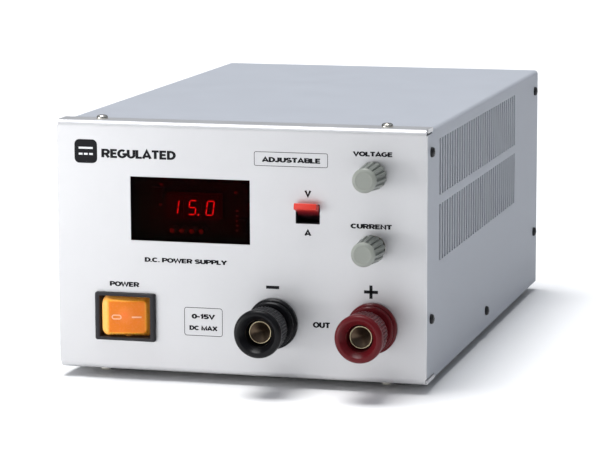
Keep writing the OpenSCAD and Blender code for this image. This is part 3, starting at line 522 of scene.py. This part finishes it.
def case_screws():
    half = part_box("cover")[1].x / MM
    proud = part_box("cover_screws")[1].x / MM - half
    spots = []
    for side in (-1, 1):
        for i, (y, z) in enumerate(SIDE_SCREWS):
            turn = (Matrix.Rotation(side * math.pi / 2, 4, "Y")
                    @ Matrix.Rotation(0.5 + 1.3 * i, 4, "Z"))
            spots.append(Matrix.Translation(point(side * half, y, z)) @ turn)
    piece("side_screws", copies(cross_screw(5.2, proud, 2.9), spots), BLACK_OXIDE,
          stands_for=["cover_screws"])
    proud = (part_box("flange_screws")[1].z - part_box("front_panel")[1].z) / MM
    spots = []
    for x, turn in ((-75, 0.4), (75, 1.1)):
        spots.append(Matrix.Translation(point(x, 8, PANEL_H)) @ Matrix.Rotation(turn, 4, "Z"))
        spots.append(Matrix.Translation(point(x, 8, 0)) @ Matrix.Rotation(math.pi, 4, "X"))
    piece("panel_screws", copies(cross_screw(6.0, proud, 3.3), spots), NICKEL,
          stands_for=["flange_screws"])
    spots = []
    y = back_of("fan_guard")
    x0, _, z0 = middle("fan_guard")
    for sx in (-1, 1):
        for sz in (-1, 1):
            spots.append(Matrix.Translation(point(x0 + sx * GUARD_HALF, y, z0 + sz * GUARD_HALF))
                         @ Matrix.Rotation(-math.pi / 2, 4, "X")
                         @ Matrix.Rotation(sx + 0.4 * sz, 4, "Z"))
    piece("guard_screws", copies(cross_screw(7.0, back_of("fan_screws") - y, 3.8), spots), NICKEL,
          stands_for=["fan_screws"])


def feet():
    """Rubber feet: tapered, with a rounded tread edge and a sunk ring round the screw."""
    low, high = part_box("feet")
    height = (high.z - low.z) / MM
    profile = softened([(4.0, 3.0), (4.0, 0.0), (7.7, 0.0), (8.5, height), (1.6, height),
                        (1.6, 3.0)], 0.7, 4)
    foot = turned(profile, 64, closed=True)
    spots = [Matrix.Translation(point(x, y, low.z / MM - BASE_Z / MM)) for x, y in FEET]
    piece("rubber_feet", copies(foot, spots), RUBBER, stands_for=["feet"], sharp=30)


# ---------------------------------------------------------------- power switch


def power_switch():
    x, _, z = middle("power_switch_body")
    low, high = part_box("power_switch_body")
    w, h = (high.x - low.x) / MM, (high.z - low.z) / MM
    proud, depth = -front_of("power_switch_body"), back_of("power_switch_body")
    hole_w, hole_h, well = 27.2, 21.4, 14.0
    rows = []
    for inset, height in ((0.0, 0.0), (0.0, proud - 0.9), (0.12, proud - 0.4), (0.45, proud - 0.1),
                          (0.9, proud)):
        rows.append(rounded_loop(w - 2 * inset, h - 2 * inset, 1.1, height))
    for grow, height in ((0.35, proud), (0.14, proud - 0.06), (0.03, proud - 0.18),
                         (0.0, proud - 0.4), (0.0, -well)):
        rows.append(rounded_loop(hole_w + 2 * grow, hole_h + 2 * grow, 0.6 + grow, height))
    rows += [[(0, 0, -well)], [(0, 0, -depth)]]
    rows += [rounded_loop(29.6, 23.6, 0.6, -depth), rounded_loop(29.6, 23.6, 0.6, 0.0)]
    bm = loft(rows, closed=True)
    piece("switch_bezel", moved(bm, outward(x, 0, z)), SWITCH,
          stands_for=["power_switch_body"])


def rocker_front(x):
    """Height of the rocker's face in front of its pivot, before it is tilted."""
    return 6.6 - abs(x) * math.tan(math.radians(5.0))


def rocker():
    """Rocker with a shallow vee face, a broad left bevel and sloping sides, as at rest."""
    px, pz, pivot_y = -60.9, 28.1, 4.0
    face, foot, body = (19.8, 17.0, 0.4), (24.5, 19.0, -0.75), (26.0, 20.8, 0.0)
    rows = [[(face[2], 0, rocker_front(face[2]))]]
    for scale in (0.2, 0.4, 0.6, 0.75, 0.88):
        loop = rounded_loop(face[0] * scale, face[1] * scale, 2.2 * scale, 0, 8, 8)
        rows.append([(a + face[2], b, rocker_front(a + face[2])) for a, b, _ in loop])
    for inset, drop in ((0.55, 0.02), (0.3, 0.08), (0.1, 0.2)):
        loop = rounded_loop(face[0] - 2 * inset, face[1] - 2 * inset, 2.2 - inset, 0, 8, 8)
        rows.append([(a + face[2], b, rocker_front(a + face[2]) - drop) for a, b, _ in loop])
    for t in (0.03, 0.5, 0.93):
        w, h, shift = (m + (n - m) * t for m, n in zip(face, foot))
        loop = rounded_loop(w, h, 2.2 + 1.2 * t, 0, 8, 8)
        rows.append([(a + shift, b, (rocker_front(a + shift) - 0.35) * (1 - t) + 3.4 * t) for a, b,
                     _ in loop])
    for t in (0.06, 0.5, 0.96):
        w, h, shift = (m + (n - m) * t for m, n in zip(foot, body))
        rows.append([(a + shift, b, 3.4 - 2.0 * t) for a, b,
                     _ in rounded_loop(w, h, 3.4 - 0.3 * t, 0, 8, 8)])
    rows.append(rounded_loop(body[0], body[1], 3.1, 1.2, 8, 8))
    rows.append(rounded_loop(body[0], body[1], 3.1, -2.6, 8, 8))
    rows.append([(0, 0, -2.6)])
    body = loft(rows)
    tilt = Matrix.Rotation(math.radians(10.0), 4, "Z")
    seat = Matrix.Translation(point(px, pivot_y, pz)) @ tilt @ Matrix.Rotation(math.pi / 2, 4, "X")
    pins = turned([(0, -11.6), (1.4, -11.6), (1.5, -11.5), (1.5, 11.5), (1.4, 11.6), (0, 11.6)], 32)
    pins = moved(pins, Matrix.Rotation(math.pi / 2, 4, "X"))
    hollow = block((15, 12.6, 8), (0, 0, -4.5), 0.6)
    solid = combined(combined(body, pins, "UNION"), hollow)
    piece("rocker", moved(solid, seat), AMBER, "power_rocker", ["power_rocker"], 45)

    ring = outline_box(-2.6, 2.6, -1.25, 1.25, 1.24, 0.55, 0.2)
    lean = Matrix.Rotation(math.radians(-5.0), 4, "Y")
    marks = [moved(ring,
                   Matrix.Translation((-5.2 * MM, 0, (rocker_front(5.2) - 0.06) * MM)) @ lean)]
    lean = Matrix.Rotation(math.radians(5.0), 4, "Y")
    marks.append(moved(block((5.0, 0.8, 0.3), (0, 0, 0.0), 0.06),
                       Matrix.Translation((5.2 * MM, 0, rocker_front(5.2) * MM)) @ lean))
    piece("rocker_marks", moved(joined(*marks), seat), MARK, "power_rocker")


# ---------------------------------------------------------------- meter switch


def lever():
    """Lever that tapers to a rounded tip, on a barrel with two pins, in its upper position."""
    px, pz, pivot_y, w, length, half, neck, barrel = 35.9, 84.85, 8.0, 11.7, 14.5, 1.6, 8.5, 4.2
    r = 0.45
    loop = [(-neck, -half)]
    for cx, cy, start in ((-length + r, -half + r, 270), (-length + r, half - r, 180)):
        loop += [(cx + r * math.cos(math.radians(start - a)),
                  cy + r * math.sin(math.radians(start - a)))
                 for a in (0, 22.5, 45, 67.5, 90)]
    loop.append((-neck, half))
    loop += [(barrel * math.cos(math.radians(a)),
              barrel * math.sin(math.radians(a))) for a in range(108, -109, -9)]
    rows = [[(0, 0, -w / 2)]]
    for inset, x in ((0.3, -w / 2), (0.08, -w / 2 + 0.1), (0.0, -w / 2 + 0.35), (0.0, w / 2 - 0.35),
                     (0.08, w / 2 - 0.1), (0.3, w / 2)):
        rows.append([(a * (1 - inset / length), b * (1 - inset / 4), x) for a, b in loop])
    rows.append([(0, 0, w / 2)])
    pins = turned([(0, -8.4), (0.9, -8.4), (1.0, -8.3), (1.0, 8.3), (0.9, 8.4), (0, 8.4)], 24)
    to_across = Matrix(((0, 0, 1, 0), (1, 0, 0, 0), (0, 1, 0, 0), (0, 0, 0, 1)))
    solid = moved(combined(loft(rows), pins, "UNION"), to_across)
    seat = Matrix.Translation(point(px, pivot_y, pz)) @ Matrix.Rotation(math.radians(-19.0), 4, "X")
    piece("meter_paddle", moved(solid, seat), LEVER, "meter_lever", ["meter_lever"],
          40)


# ---------------------------------------------------------------- knobs


def knob(name, node, cap_node, body):
    """Fluted knob with softened ribs, and a dished cap that sits in its front."""
    x, _, z = middle(node)
    front, back = -front_of(node), -back_of(node)
    tip = -front_of(cap_node)
    base_r = (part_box(node)[1].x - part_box(node)[0].x) / MM / 2 + 0.05
    front_r = base_r - 1.2
    flutes = 14

    def relief(a):
        return -0.85 * max(0.0, math.cos(a * flutes)) ** 1.2

    length = front - back
    rows = [circle(3.06, back + 5.5, 168), circle(5.5, back + 5.5, 168), circle(5.5, back, 168)]
    for t, shrink, deep in ((0.0, 0.25, 0.7), (0.02, 0.0, 1.0), (0.25, 0, 1), (0.5, 0, 1),
                            (0.75, 0, 1), (0.95, 0.0, 1.0), (0.985, 0.1, 0.9), (1.0, 0.4, 0.5)):
        r = base_r + (front_r - base_r) * t - shrink
        rows.append(circle(r, back + length * t, 168, lambda a, d=deep: relief(a) * d))
    rows.append(circle(3.06, front, 168))
    piece(name, moved(loft(rows, closed=True), outward(x, 0, z)), KNOB, body, [node],
          32)

    r = (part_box(cap_node)[1].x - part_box(cap_node)[0].x) / MM / 2
    profile = softened([(0, front), (r - 0.3, front), (r, front + 0.35), (r, tip - 1.5),
                        (r - 0.5, tip - 0.7), (r - 1.5, tip - 0.12), (r - 2.0, tip - 0.02),
                        (r - 2.4, tip - 0.12), (0, tip - 0.12)], 0.3, 5)
    piece(name + "_cap", moved(turned(profile, 96), outward(x, 0, z)), KNOB_CAP,
          body, [cap_node], 50)


# ---------------------------------------------------------------- output posts


def post(side, cap_material):
    """Base bush, clamping ring and knurled cap of one post."""
    cap, ring, base = (f"{side}_{part}" for part in ("cap", "ring", "base"))
    x, _, z = middle(cap)
    out = -front_of(cap)
    r = (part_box(cap)[1].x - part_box(cap)[0].x) / MM / 2
    here = outward(x, 0, z)
    ribs, band = 44, r - 0.5
    outer = softened([(7.0, 3.9), (7.0, 6.9), (r - 4, 6.9), (r - 4, 9.6), (r - 2.2, 10.4),
                      (r - 1.5, 13.8)], 0.5)
    knurl = [(band - 0.75, 14.2, 0.3), (band - 0.35, 14.9, 1.0), (band - 0.3, 15.6, 1.0),
             (band, 25.6, 1.0),
             (band - 0.1, 26.1, 1.0), (band - 0.5, 26.5, 0.2)]
    rim = softened([(r - 1.1, 26.7), (r - 0.5, 27.0), (r, 27.9), (r, out - 1.9),
                    (r - 0.35, out - 0.9),
                    (r - 1.1, out - 0.25), (r - 2.0, out), (9.5, out), (6.9, out - 3.2),
                    (6.5, 22.0), (5.66, 22.0)], 0.4)
    bore = [(5.66, 22.0), (5.66, 3.9)]
    rows = [circle(a, b, 352) for a, b in outer[:-1]] + [circle(r - 1.5, 13.7, 352)]
    for radius, height, deep in knurl:
        rows.append(circle(radius, height, 352, lambda a,
                           d=deep: -0.3 * d * (1 - math.cos(a * ribs))))
    rows += [circle(a, b, 352) for a, b in rim[:-1] + bore]
    piece(f"{side}_post_cap", moved(loft(rows, closed=True), here), cap_material, cap, [cap],
          40)

    rr = (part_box(ring)[1].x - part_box(ring)[0].x) / MM / 2
    profile = softened([(7.1, 5.0), (7.1, 3.3), (rr - 0.5, 3.3), (rr, 3.9), (rr, 5.9),
                        (rr - 0.7, 6.6), (7.1, 6.6),
                        (7.1, 5.0)], 0.3)
    piece(f"{side}_post_ring", moved(turned(profile[:-1], 128, closed=True), here), cap_material,
          ring, [ring])

    br = (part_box(base)[1].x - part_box(base)[0].x) / MM / 2
    profile = softened([(5.1, 1.0), (5.1, -2.0), (8.0, -2.0), (8.0, 0.0), (br, 0.0), (br, 2.1),
                        (br - 0.9, 3.0),
                        (5.1, 3.0), (5.1, 1.0)], 0.35)
    piece(f"{side}_post_base", moved(turned(profile[:-1], 128, closed=True), here), cap_material,
          "case", [base])


def stud_rims():
    """The polished front edge of each stud."""
    rims = []
    for side in ("negative", "positive"):
        x, _, z = middle(f"{side}_stud")
        front = -front_of(f"{side}_stud")
        profile = softened([(5.36, front - 0.2), (5.36, front + 0.05), (5.57, front + 0.05),
                            (5.57, front - 0.2)], 0.04)
        rims.append(moved(turned(profile, 96, closed=True), outward(x, 0, z)))
    piece("stud_rims", joined(*rims), BRASS)


# ---------------------------------------------------------------- display


# Ends of each segment, in halves of the digit's width and height
SEGMENTS = {"a": ((-1, 1), (1, 1)), "b": ((1, 1), (1, 0)), "c": ((1, 0), (1, -1)),
            "d": ((-1, -1), (1, -1)),
            "e": ((-1, 0), (-1, -1)), "f": ((-1, 1), (-1, 0)), "g": ((-1, 0), (1, 0))}
# The lit segments of each digit, and whether its point is lit
DIGITS = (("bc", False), ("acdfg", True), ("abcdef", False))


DIGIT_PITCH, DIGIT_HALF_W, DIGIT_HALF_H = 9.4, 1.8, 3.6
BAR_HALF, BAR_THICK, DIGIT_SLANT = 0.22, 0.12, 0.14
# Gap between a segment's end and the corner of its digit
BAR_GAP = 0.28


def segment(start, end, half, thick, slant):
    """One pointed bar of a digit, as a thin closed mesh."""
    a, b = Vector(start), Vector(end)
    along = (b - a).normalized()
    a, b = a + along * BAR_GAP, b - along * BAR_GAP
    side = Vector((-along.y, along.x)) * half
    flat = [a, a + along * half + side, b - along * half + side, b, b - along * half - side,
            a + along * half - side]
    loop = [(p.x + p.y * slant, p.y) for p in flat]
    cx, cy = sum(p[0] for p in loop) / 6, sum(p[1] for p in loop) / 6
    return loft([[(cx, cy, 0)], [(*p, 0) for p in loop], [(*p, thick) for p in loop],
                 [(cx, cy, thick)]])


def digits():
    x, _, z = middle("digit_modules")
    front = -front_of("digit_modules")
    lit, dark = [], []
    for i, (on, dot) in enumerate(DIGITS):
        place = Matrix.Translation(Vector((x + (i - 1) * DIGIT_PITCH, z - 0.3, 0)) * MM)
        for key, (start, end) in SEGMENTS.items():
            s = (start[0] * DIGIT_HALF_W, start[1] * DIGIT_HALF_H)
            e = (end[0] * DIGIT_HALF_W, end[1] * DIGIT_HALF_H)
            (lit if key in on else dark).append(moved(segment(s, e, BAR_HALF, BAR_THICK,
                                                              DIGIT_SLANT), place))
        spot = turned([(0, 0), (0.4, 0), (0.4, BAR_THICK), (0, BAR_THICK)], 24)
        spot = moved(spot,
                     place @ Matrix.Translation(Vector((DIGIT_HALF_W + 1.3, -DIGIT_HALF_H,
                                                        0)) * MM))
        (lit if dot else dark).append(spot)
    seat = on_panel(-front)
    piece("segments_lit", moved(joined(*lit), seat), LIT)
    piece("segments_unlit", moved(joined(*dark), seat), UNLIT)


LEGS_DEPTH = 12.9
CANS_DEPTH = 8.05
LEG_PITCH = 2.54


def meter_details():
    """Tinned legs and tops of the small parts that show faintly through the filter."""
    parts = []
    for x in (-4.6, 3.0):
        for i in range(5):
            parts.append(block((1.5, 0.9, 1.0), (x, 73.0 + LEG_PITCH * i, 0), 0.15))
    for x, z in ((-5.0, 92.4), (-0.6, 91.8), (2.6, 86.2), (-45.0, 95.5), (-45.5, 85.0)):
        parts.append(block((2.0, 1.3, 1.0), (x, z, 0), 0.2))
    place = on_panel(LEGS_DEPTH)
    piece("meter_legs", moved(joined(*parts), place), NICKEL)
    tops = []
    for i in range(4):
        top = turned(softened([(0, 0), (1.3, 0), (1.3, 0.4), (0, 0.4)], 0.1), 32)
        tops.append(moved(top, Matrix.Translation(Vector((-38 + i * 5.2, 72.5, 0)) * MM)))
    place = on_panel(CANS_DEPTH)
    piece("meter_can_tops", moved(joined(*tops), place), NICKEL)


# ---------------------------------------------------------------- legends


def arc(cx, cy, rx, ry, start, end, steps=9):
    angles = (math.radians(start + (end - start) * i / steps) for i in range(steps + 1))
    return [(cx + rx * math.cos(a), cy + ry * math.sin(a)) for a in angles]


BOWL = arc(0.45, 0.70, 0.20, 0.21, 90, -90)
LETTERS = {
    " ": (0.32, []),
    "-": (0.42, [[(0.04, 0.42), (0.38, 0.42)]]),
    ".": (0.24, [[(0.12, 0.0), (0.12, 0.17)]]),
    "0": (0.66, [arc(0.33, 0.5, 0.23, 0.41, 0, 360, 20)]),
    "1": (0.46, [[(0.09, 0.72), (0.29, 0.92), (0.29, 0.0)]]),
    "5": (0.66,
          [[(0.57, 0.91), (0.17, 0.91), (0.13, 0.52)]
           + arc(0.32, 0.32, 0.24, 0.23, 120, -150, 12)]),
    "A": (0.82, [[(0.08, 0.0), (0.41, 0.94), (0.74, 0.0)], [(0.22, 0.27), (0.60, 0.27)]]),
    "B": (0.74, [[(0.14, 0.09), (0.14, 0.91)] + BOWL + [(0.14, 0.50)],
                 [(0.14, 0.49)] + arc(0.45, 0.29, 0.22, 0.20, 90, -90) + [(0.14, 0.09)]]),
    "C": (0.78, [arc(0.42, 0.5, 0.32, 0.41, 48, 312, 16)]),
    "D": (0.78,
          [[(0.14, 0.09), (0.14, 0.91)]
           + arc(0.34, 0.5, 0.34, 0.41, 90, -90, 12) + [(0.14, 0.09)]]),
    "E": (0.68,
          [[(0.62, 0.91), (0.14, 0.91), (0.14, 0.09), (0.63, 0.09)], [(0.14, 0.51), (0.57, 0.51)]]),
    "G": (0.84, [arc(0.42, 0.5, 0.32, 0.41, 50, 335, 16) + [(0.74, 0.46), (0.45, 0.46)]]),
    "J": (0.60, [[(0.44, 1.0), (0.44, 0.30)] + arc(0.265, 0.30, 0.175, 0.21, 0, -180, 9)]),
    "L": (0.62, [[(0.14, 1.0), (0.14, 0.09), (0.58, 0.09)]]),
    "M": (0.94, [[(0.13, 0.0), (0.13, 0.93), (0.47, 0.08), (0.81, 0.93), (0.81, 0.0)]]),
    "N": (0.80, [[(0.13, 0.0), (0.13, 0.93), (0.67, 0.07), (0.67, 1.0)]]),
    "O": (0.86, [arc(0.43, 0.5, 0.33, 0.41, 0, 360, 22)]),
    "P": (0.72,
          [[(0.14, 0.0), (0.14, 0.91)] + arc(0.42, 0.67, 0.22, 0.24, 90, -90) + [(0.14, 0.43)]]),
    "R": (0.80,
          [[(0.14, 0.0), (0.14, 0.91)] + arc(0.44, 0.68, 0.22, 0.23, 90, -90) + [(0.14, 0.45)],
                 [(0.42, 0.45), (0.68, 0.0)]]),
    "S": (0.72,
          [arc(0.36, 0.70, 0.25, 0.21, 25, 270, 12) + arc(0.36, 0.29, 0.26, 0.20, 90, -155, 12)]),
    "T": (0.72, [[(0.04, 0.91), (0.68, 0.91)], [(0.36, 0.91), (0.36, 0.0)]]),
    "U": (0.78,
          [[(0.13, 1.0), (0.13, 0.36)]
           + arc(0.39, 0.36, 0.26, 0.27, 180, 360, 12) + [(0.65, 1.0)]]),
    "V": (0.80, [[(0.08, 1.0), (0.40, 0.06), (0.72, 1.0)]]),
    "W": (1.10, [[(0.08, 1.0), (0.30, 0.06), (0.55, 0.92), (0.80, 0.06), (1.02, 1.0)]]),
    "X": (0.80, [[(0.09, 0.0), (0.71, 1.0)], [(0.09, 1.0), (0.71, 0.0)]]),
    "Y": (0.80, [[(0.08, 1.0), (0.40, 0.44), (0.72, 1.0)], [(0.40, 0.50), (0.40, 0.0)]]),
}


def stroke(line, half, thick):
    """A band of even width along a line of points, closed to a ring if its ends meet."""
    pts = [Vector(p) for p in line]
    ring = (pts[0] - pts[-1]).length < 1e-6
    if ring:
        pts.pop()
    n = len(pts)
    pairs = []
    for i, p in enumerate(pts):
        before = pts[i - 1] if ring or i else None
        after = pts[(i + 1) % n] if ring or i < n - 1 else None
        sides = [Vector((-(b - a).y, (b - a).x)).normalized() for a,
                 b in ((before, p), (p, after)) if a and b]
        middle_way = sum(sides, Vector((0, 0))).normalized()
        reach = half / max(0.5, middle_way.dot(sides[0]))
        pairs.append((p + middle_way * reach, p - middle_way * reach))
    rows = [[(*a, 0), (*a, thick), (*b, thick), (*b, 0)] for a, b in pairs]
    if ring:
        return loft(rows, closed=True)
    return loft([[(*pts[0], thick / 2)]] + rows + [[(*pts[-1], thick / 2)]])


def words(text, x0, x1, z0, z1, weight=0.28):
    """Plain block letters that fill a rectangle of the panel, as thin closed bands."""
    parts, x = [], 0.0
    for letter in text:
        width, lines = LETTERS[letter]
        for k, line in enumerate(lines):
            parts.append(stroke([(x + a, b) for a, b in line], weight / 2, 0.04 + 0.01 * k))
        x += width
    bm = joined(*parts)
    low = [min(v.co[i] for v in bm.verts) for i in range(2)]
    high = [max(v.co[i] for v in bm.verts) for i in range(2)]
    for v in bm.verts:
        v.co.x = (x0 + (v.co.x - low[0]) / (high[0] - low[0]) * (x1 - x0)) * MM
        v.co.y = (z0 + (v.co.y - low[1]) / (high[1] - low[1]) * (z1 - z0)) * MM
    return bm


def bar(x0, x1, z0, z1):
    return block((x1 - x0, z1 - z0, 0.04), ((x0 + x1) / 2, (z0 + z1) / 2, 0.02))


def outline_box(x0, x1, z0, z1, r, line, thick=0.04):
    rows = []
    for inset, height in ((0, 0), (0, thick), (line, thick), (line, 0)):
        rows.append(rounded_loop(x1 - x0 - 2 * inset, z1 - z0 - 2 * inset, r - inset, height))
    return moved(loft(rows, closed=True),
                 Matrix.Translation(Vector(((x0 + x1) / 2, (z0 + z1) / 2, 0)) * MM))


def legends():
    """All printed marks of the front: plain words, boxes and the usual signs."""
    marks = [
        words("VOLTAGE", 59.2, 79.4, 114.65, 117.85),
        words("CURRENT", 58, 79.2, 78.15, 81.35),
        words("POWER", -69.4, -53.5, 43.25, 46.55),
        words("D.C. POWER SUPPLY", -50.4, -6.4, 56.65, 59.75),
        words("V", 34.2, 37.8, 93.0, 96.9),
        words("A", 34.1, 37.8, 73.8, 77.4),
        words("OUT", 38.4, 47.3, 26.95, 29.95),
        words("ADJUSTABLE", 12, 42.4, 110.55, 113.55),
        outline_box(8.0, 46.4, 108.5, 115.8, 1.0, 0.28),
        words("0-15V", -25.6, -13, 28.25, 31.45),
        words("DC MAX", -26.8, -11.8, 22.35, 25.45),
        outline_box(-29.5, -9.1, 19.8, 34.5, 1.4, 0.28),
        bar(14.0, 20.9, 45.9, 47.5),
        bar(65.0, 72.2, 45.7, 47.3),
        bar(67.8, 69.4, 43.1, 49.9),
        words("REGULATED", -73.0, -33.2, 109.9, 115.3, 0.26),
    ]
    disc = rounded_loop(12.2, 12.2, 2.6, 0)
    badge = loft([[(0, 0, 0)], disc, [(a, b, 0.04) for a, b, _ in disc], [(0, 0, 0.04)]])
    marks.append(moved(badge, Matrix.Translation(Vector((-81.4, 113.1, 0)) * MM)))
    front = on_panel(-0.005)
    piece("legends", moved(joined(*marks), front), LEGEND)
    lines = [bar(-85.2, -77.6, 114.3, 115.3)]
    for i in range(3):
        x = -85.2 + i * 2.8
        lines.append(bar(x, x + 2.0, 111.2, 112.2))
    front = on_panel(-0.045)
    piece("direct_current_sign", moved(joined(*lines), front), SIGN)


# ---------------------------------------------------------------- rear


def wire_ring(radius, wire, steps=96, around=12):
    rows = []
    for k in range(steps):
        a = 2 * math.pi * k / steps
        rows.append([((radius + wire * math.cos(b)) * math.cos(a),
                      (radius + wire * math.cos(b)) * math.sin(a),
                      wire * math.sin(b))
                     for b in (2 * math.pi * j / around for j in range(around))])
    return loft(rows, closed=True)


def guard():
    """Finger guard of round wire rings on two crossed flat spokes with eyes."""
    x, y, z = middle("fan_guard")
    rings = [wire_ring(r, 0.72) for r in (8, 15.5, 23, 30.5, 38)]
    for turn in (45, 135):
        spoke = moved(block((101.0, 2.6, 0.8), (0, 0, -0.3), 0.2),
                      Matrix.Rotation(math.radians(turn), 4, "Z"))
        rings.append(spoke)
    for sx in (-1, 1):
        for sy in (-1, 1):
            eye = turned(softened([(2.2, -0.7), (4.4, -0.7), (4.4, 0.7), (2.2, 0.7), (2.2, -0.7)],
                                  0.3)[:-1], 40,
                         closed=True)
            rings.append(moved(eye, Matrix.Translation(Vector((sx * 35.75, sy * 35.75, 0)) * MM)))
    piece("wire_guard", moved(joined(*rings), outward(x, y, z)), GUARD,
          stands_for=["fan_guard"])


case_screws()
feet()
power_switch()
rocker()
lever()
knob("voltage_dial", "voltage_knob", "voltage_knob_cap", "voltage_knob")
knob("current_dial", "current_knob", "current_knob_cap", "current_knob")
post("negative", POST_BLACK)
post("positive", POST_RED)
stud_rims()
digits()
meter_details()
legends()
guard()


# ---------------------------------------------------------------- camera, floor and light


# The camera's lens and sensor in mm, its place from the panel, and its turns in degrees
LENS, SENSOR = 168.2, 36.0
CAMERA_AT = (393.7, -1343.8, 299.6)
YAW, PITCH, ROLL = 15.07, 8.99, -0.17
PAPER = (0.93, 0.93, 0.93)
SKY = (0.83, 0.89, 1.0)
SUN_POWER, SUN_ANGLE, SUN_WAY = 3.2, 34, (0.15, 0.03, -1.0)
# Name, place, target, size and power of the lights in front of the panel
LIGHTS = (
    ("left_light", (-0.75, -0.75, 0.09), (0, -0.14, 0.06), (0.5, 0.5), 4.2),
    ("upper_light", (-0.5, -1.1, 0.7), (0, -0.3, 0.0), (0.5, 0.5), 1.3),
    ("low_light", (-0.42, -0.55, 0.035), (0, -0.14, 0.03), (0.4, 0.06), 0.3),
)


def camera():
    data = bpy.data.cameras.new("camera")
    data.sensor_width = SENSOR
    data.lens = LENS
    data.clip_end = 50.0
    o = bpy.data.objects.new("camera", data)
    bpy.context.scene.collection.objects.link(o)
    yaw, pitch, roll = (math.radians(a) for a in (YAW, PITCH, ROLL))
    forward = Vector((-math.sin(yaw) * math.cos(pitch), math.cos(yaw) * math.cos(pitch),
                      -math.sin(pitch)))
    turn = forward.to_track_quat("-Z", "Y").to_matrix() @ Matrix.Rotation(roll, 3, "Z")
    o.matrix_world = Matrix.Translation(point(*CAMERA_AT)) @ turn.to_4x4()
    bpy.context.scene.camera = o


def area_light(name, where, target, size, energy):
    data = bpy.data.lights.new(name, "AREA")
    data.shape = "RECTANGLE"
    data.size, data.size_y = size
    data.energy = energy
    o = bpy.data.objects.new(name, data)
    bpy.context.scene.collection.objects.link(o)
    o.location = where
    o.rotation_euler = (Vector(target) - Vector(where)).to_track_quat("-Z", "Y").to_euler()
    o.visible_camera = False


def floor():
    paper = finish("floor_paper", PAPER, 0.85, 0.0, 0.004, 30.0, 0.01)
    bm = bmesh.new()
    bmesh.ops.create_grid(bm, x_segments=24, y_segments=24, size=9.0)
    mesh = bpy.data.meshes.new("floor")
    bm.to_mesh(mesh)
    bm.free()
    mesh.materials.append(paper)
    o = bpy.data.objects.new("floor", mesh)
    bpy.context.scene.collection.objects.link(o)


def sky():
    """A sky that fades out towards the horizon, where the camera itself sees pale paper."""
    world = bpy.data.worlds.new("studio")
    world.use_nodes = True
    tree = world.node_tree
    light = tree.nodes["Background"]
    light.inputs["Color"].default_value = (*SKY, 1.0)
    way = tree.nodes.new("ShaderNodeTexCoord")
    axes = tree.nodes.new("ShaderNodeSeparateXYZ")
    fade = tree.nodes.new("ShaderNodeMapRange")
    for key, value in (("From Min", 0.0), ("From Max", 0.8), ("To Min", 0.0), ("To Max", 0.45)):
        fade.inputs[key].default_value = value
    tree.links.new(way.outputs["Generated"], axes.inputs[0])
    tree.links.new(axes.outputs["Z"], fade.inputs["Value"])
    tree.links.new(fade.outputs["Result"], light.inputs["Strength"])
    paper = tree.nodes.new("ShaderNodeBackground")
    paper.inputs["Color"].default_value = (*PAPER, 1.0)
    seen = tree.nodes.new("ShaderNodeLightPath")
    either = tree.nodes.new("ShaderNodeMixShader")
    tree.links.new(seen.outputs["Is Camera Ray"], either.inputs[0])
    tree.links.new(light.outputs[0], either.inputs[1])
    tree.links.new(paper.outputs[0], either.inputs[2])
    tree.links.new(either.outputs[0], tree.nodes["World Output"].inputs["Surface"])
    bpy.context.scene.world = world


def lights():
    sun = bpy.data.lights.new("sky_panel", "SUN")
    sun.energy = SUN_POWER
    sun.angle = math.radians(SUN_ANGLE)
    o = bpy.data.objects.new("sky_panel", sun)
    bpy.context.scene.collection.objects.link(o)
    o.rotation_euler = Vector(SUN_WAY).to_track_quat("-Z", "Y").to_euler()
    for light in LIGHTS:
        area_light(*light)
    bpy.context.scene.view_settings.view_transform = "Standard"


camera()
floor()
sky()
lights()
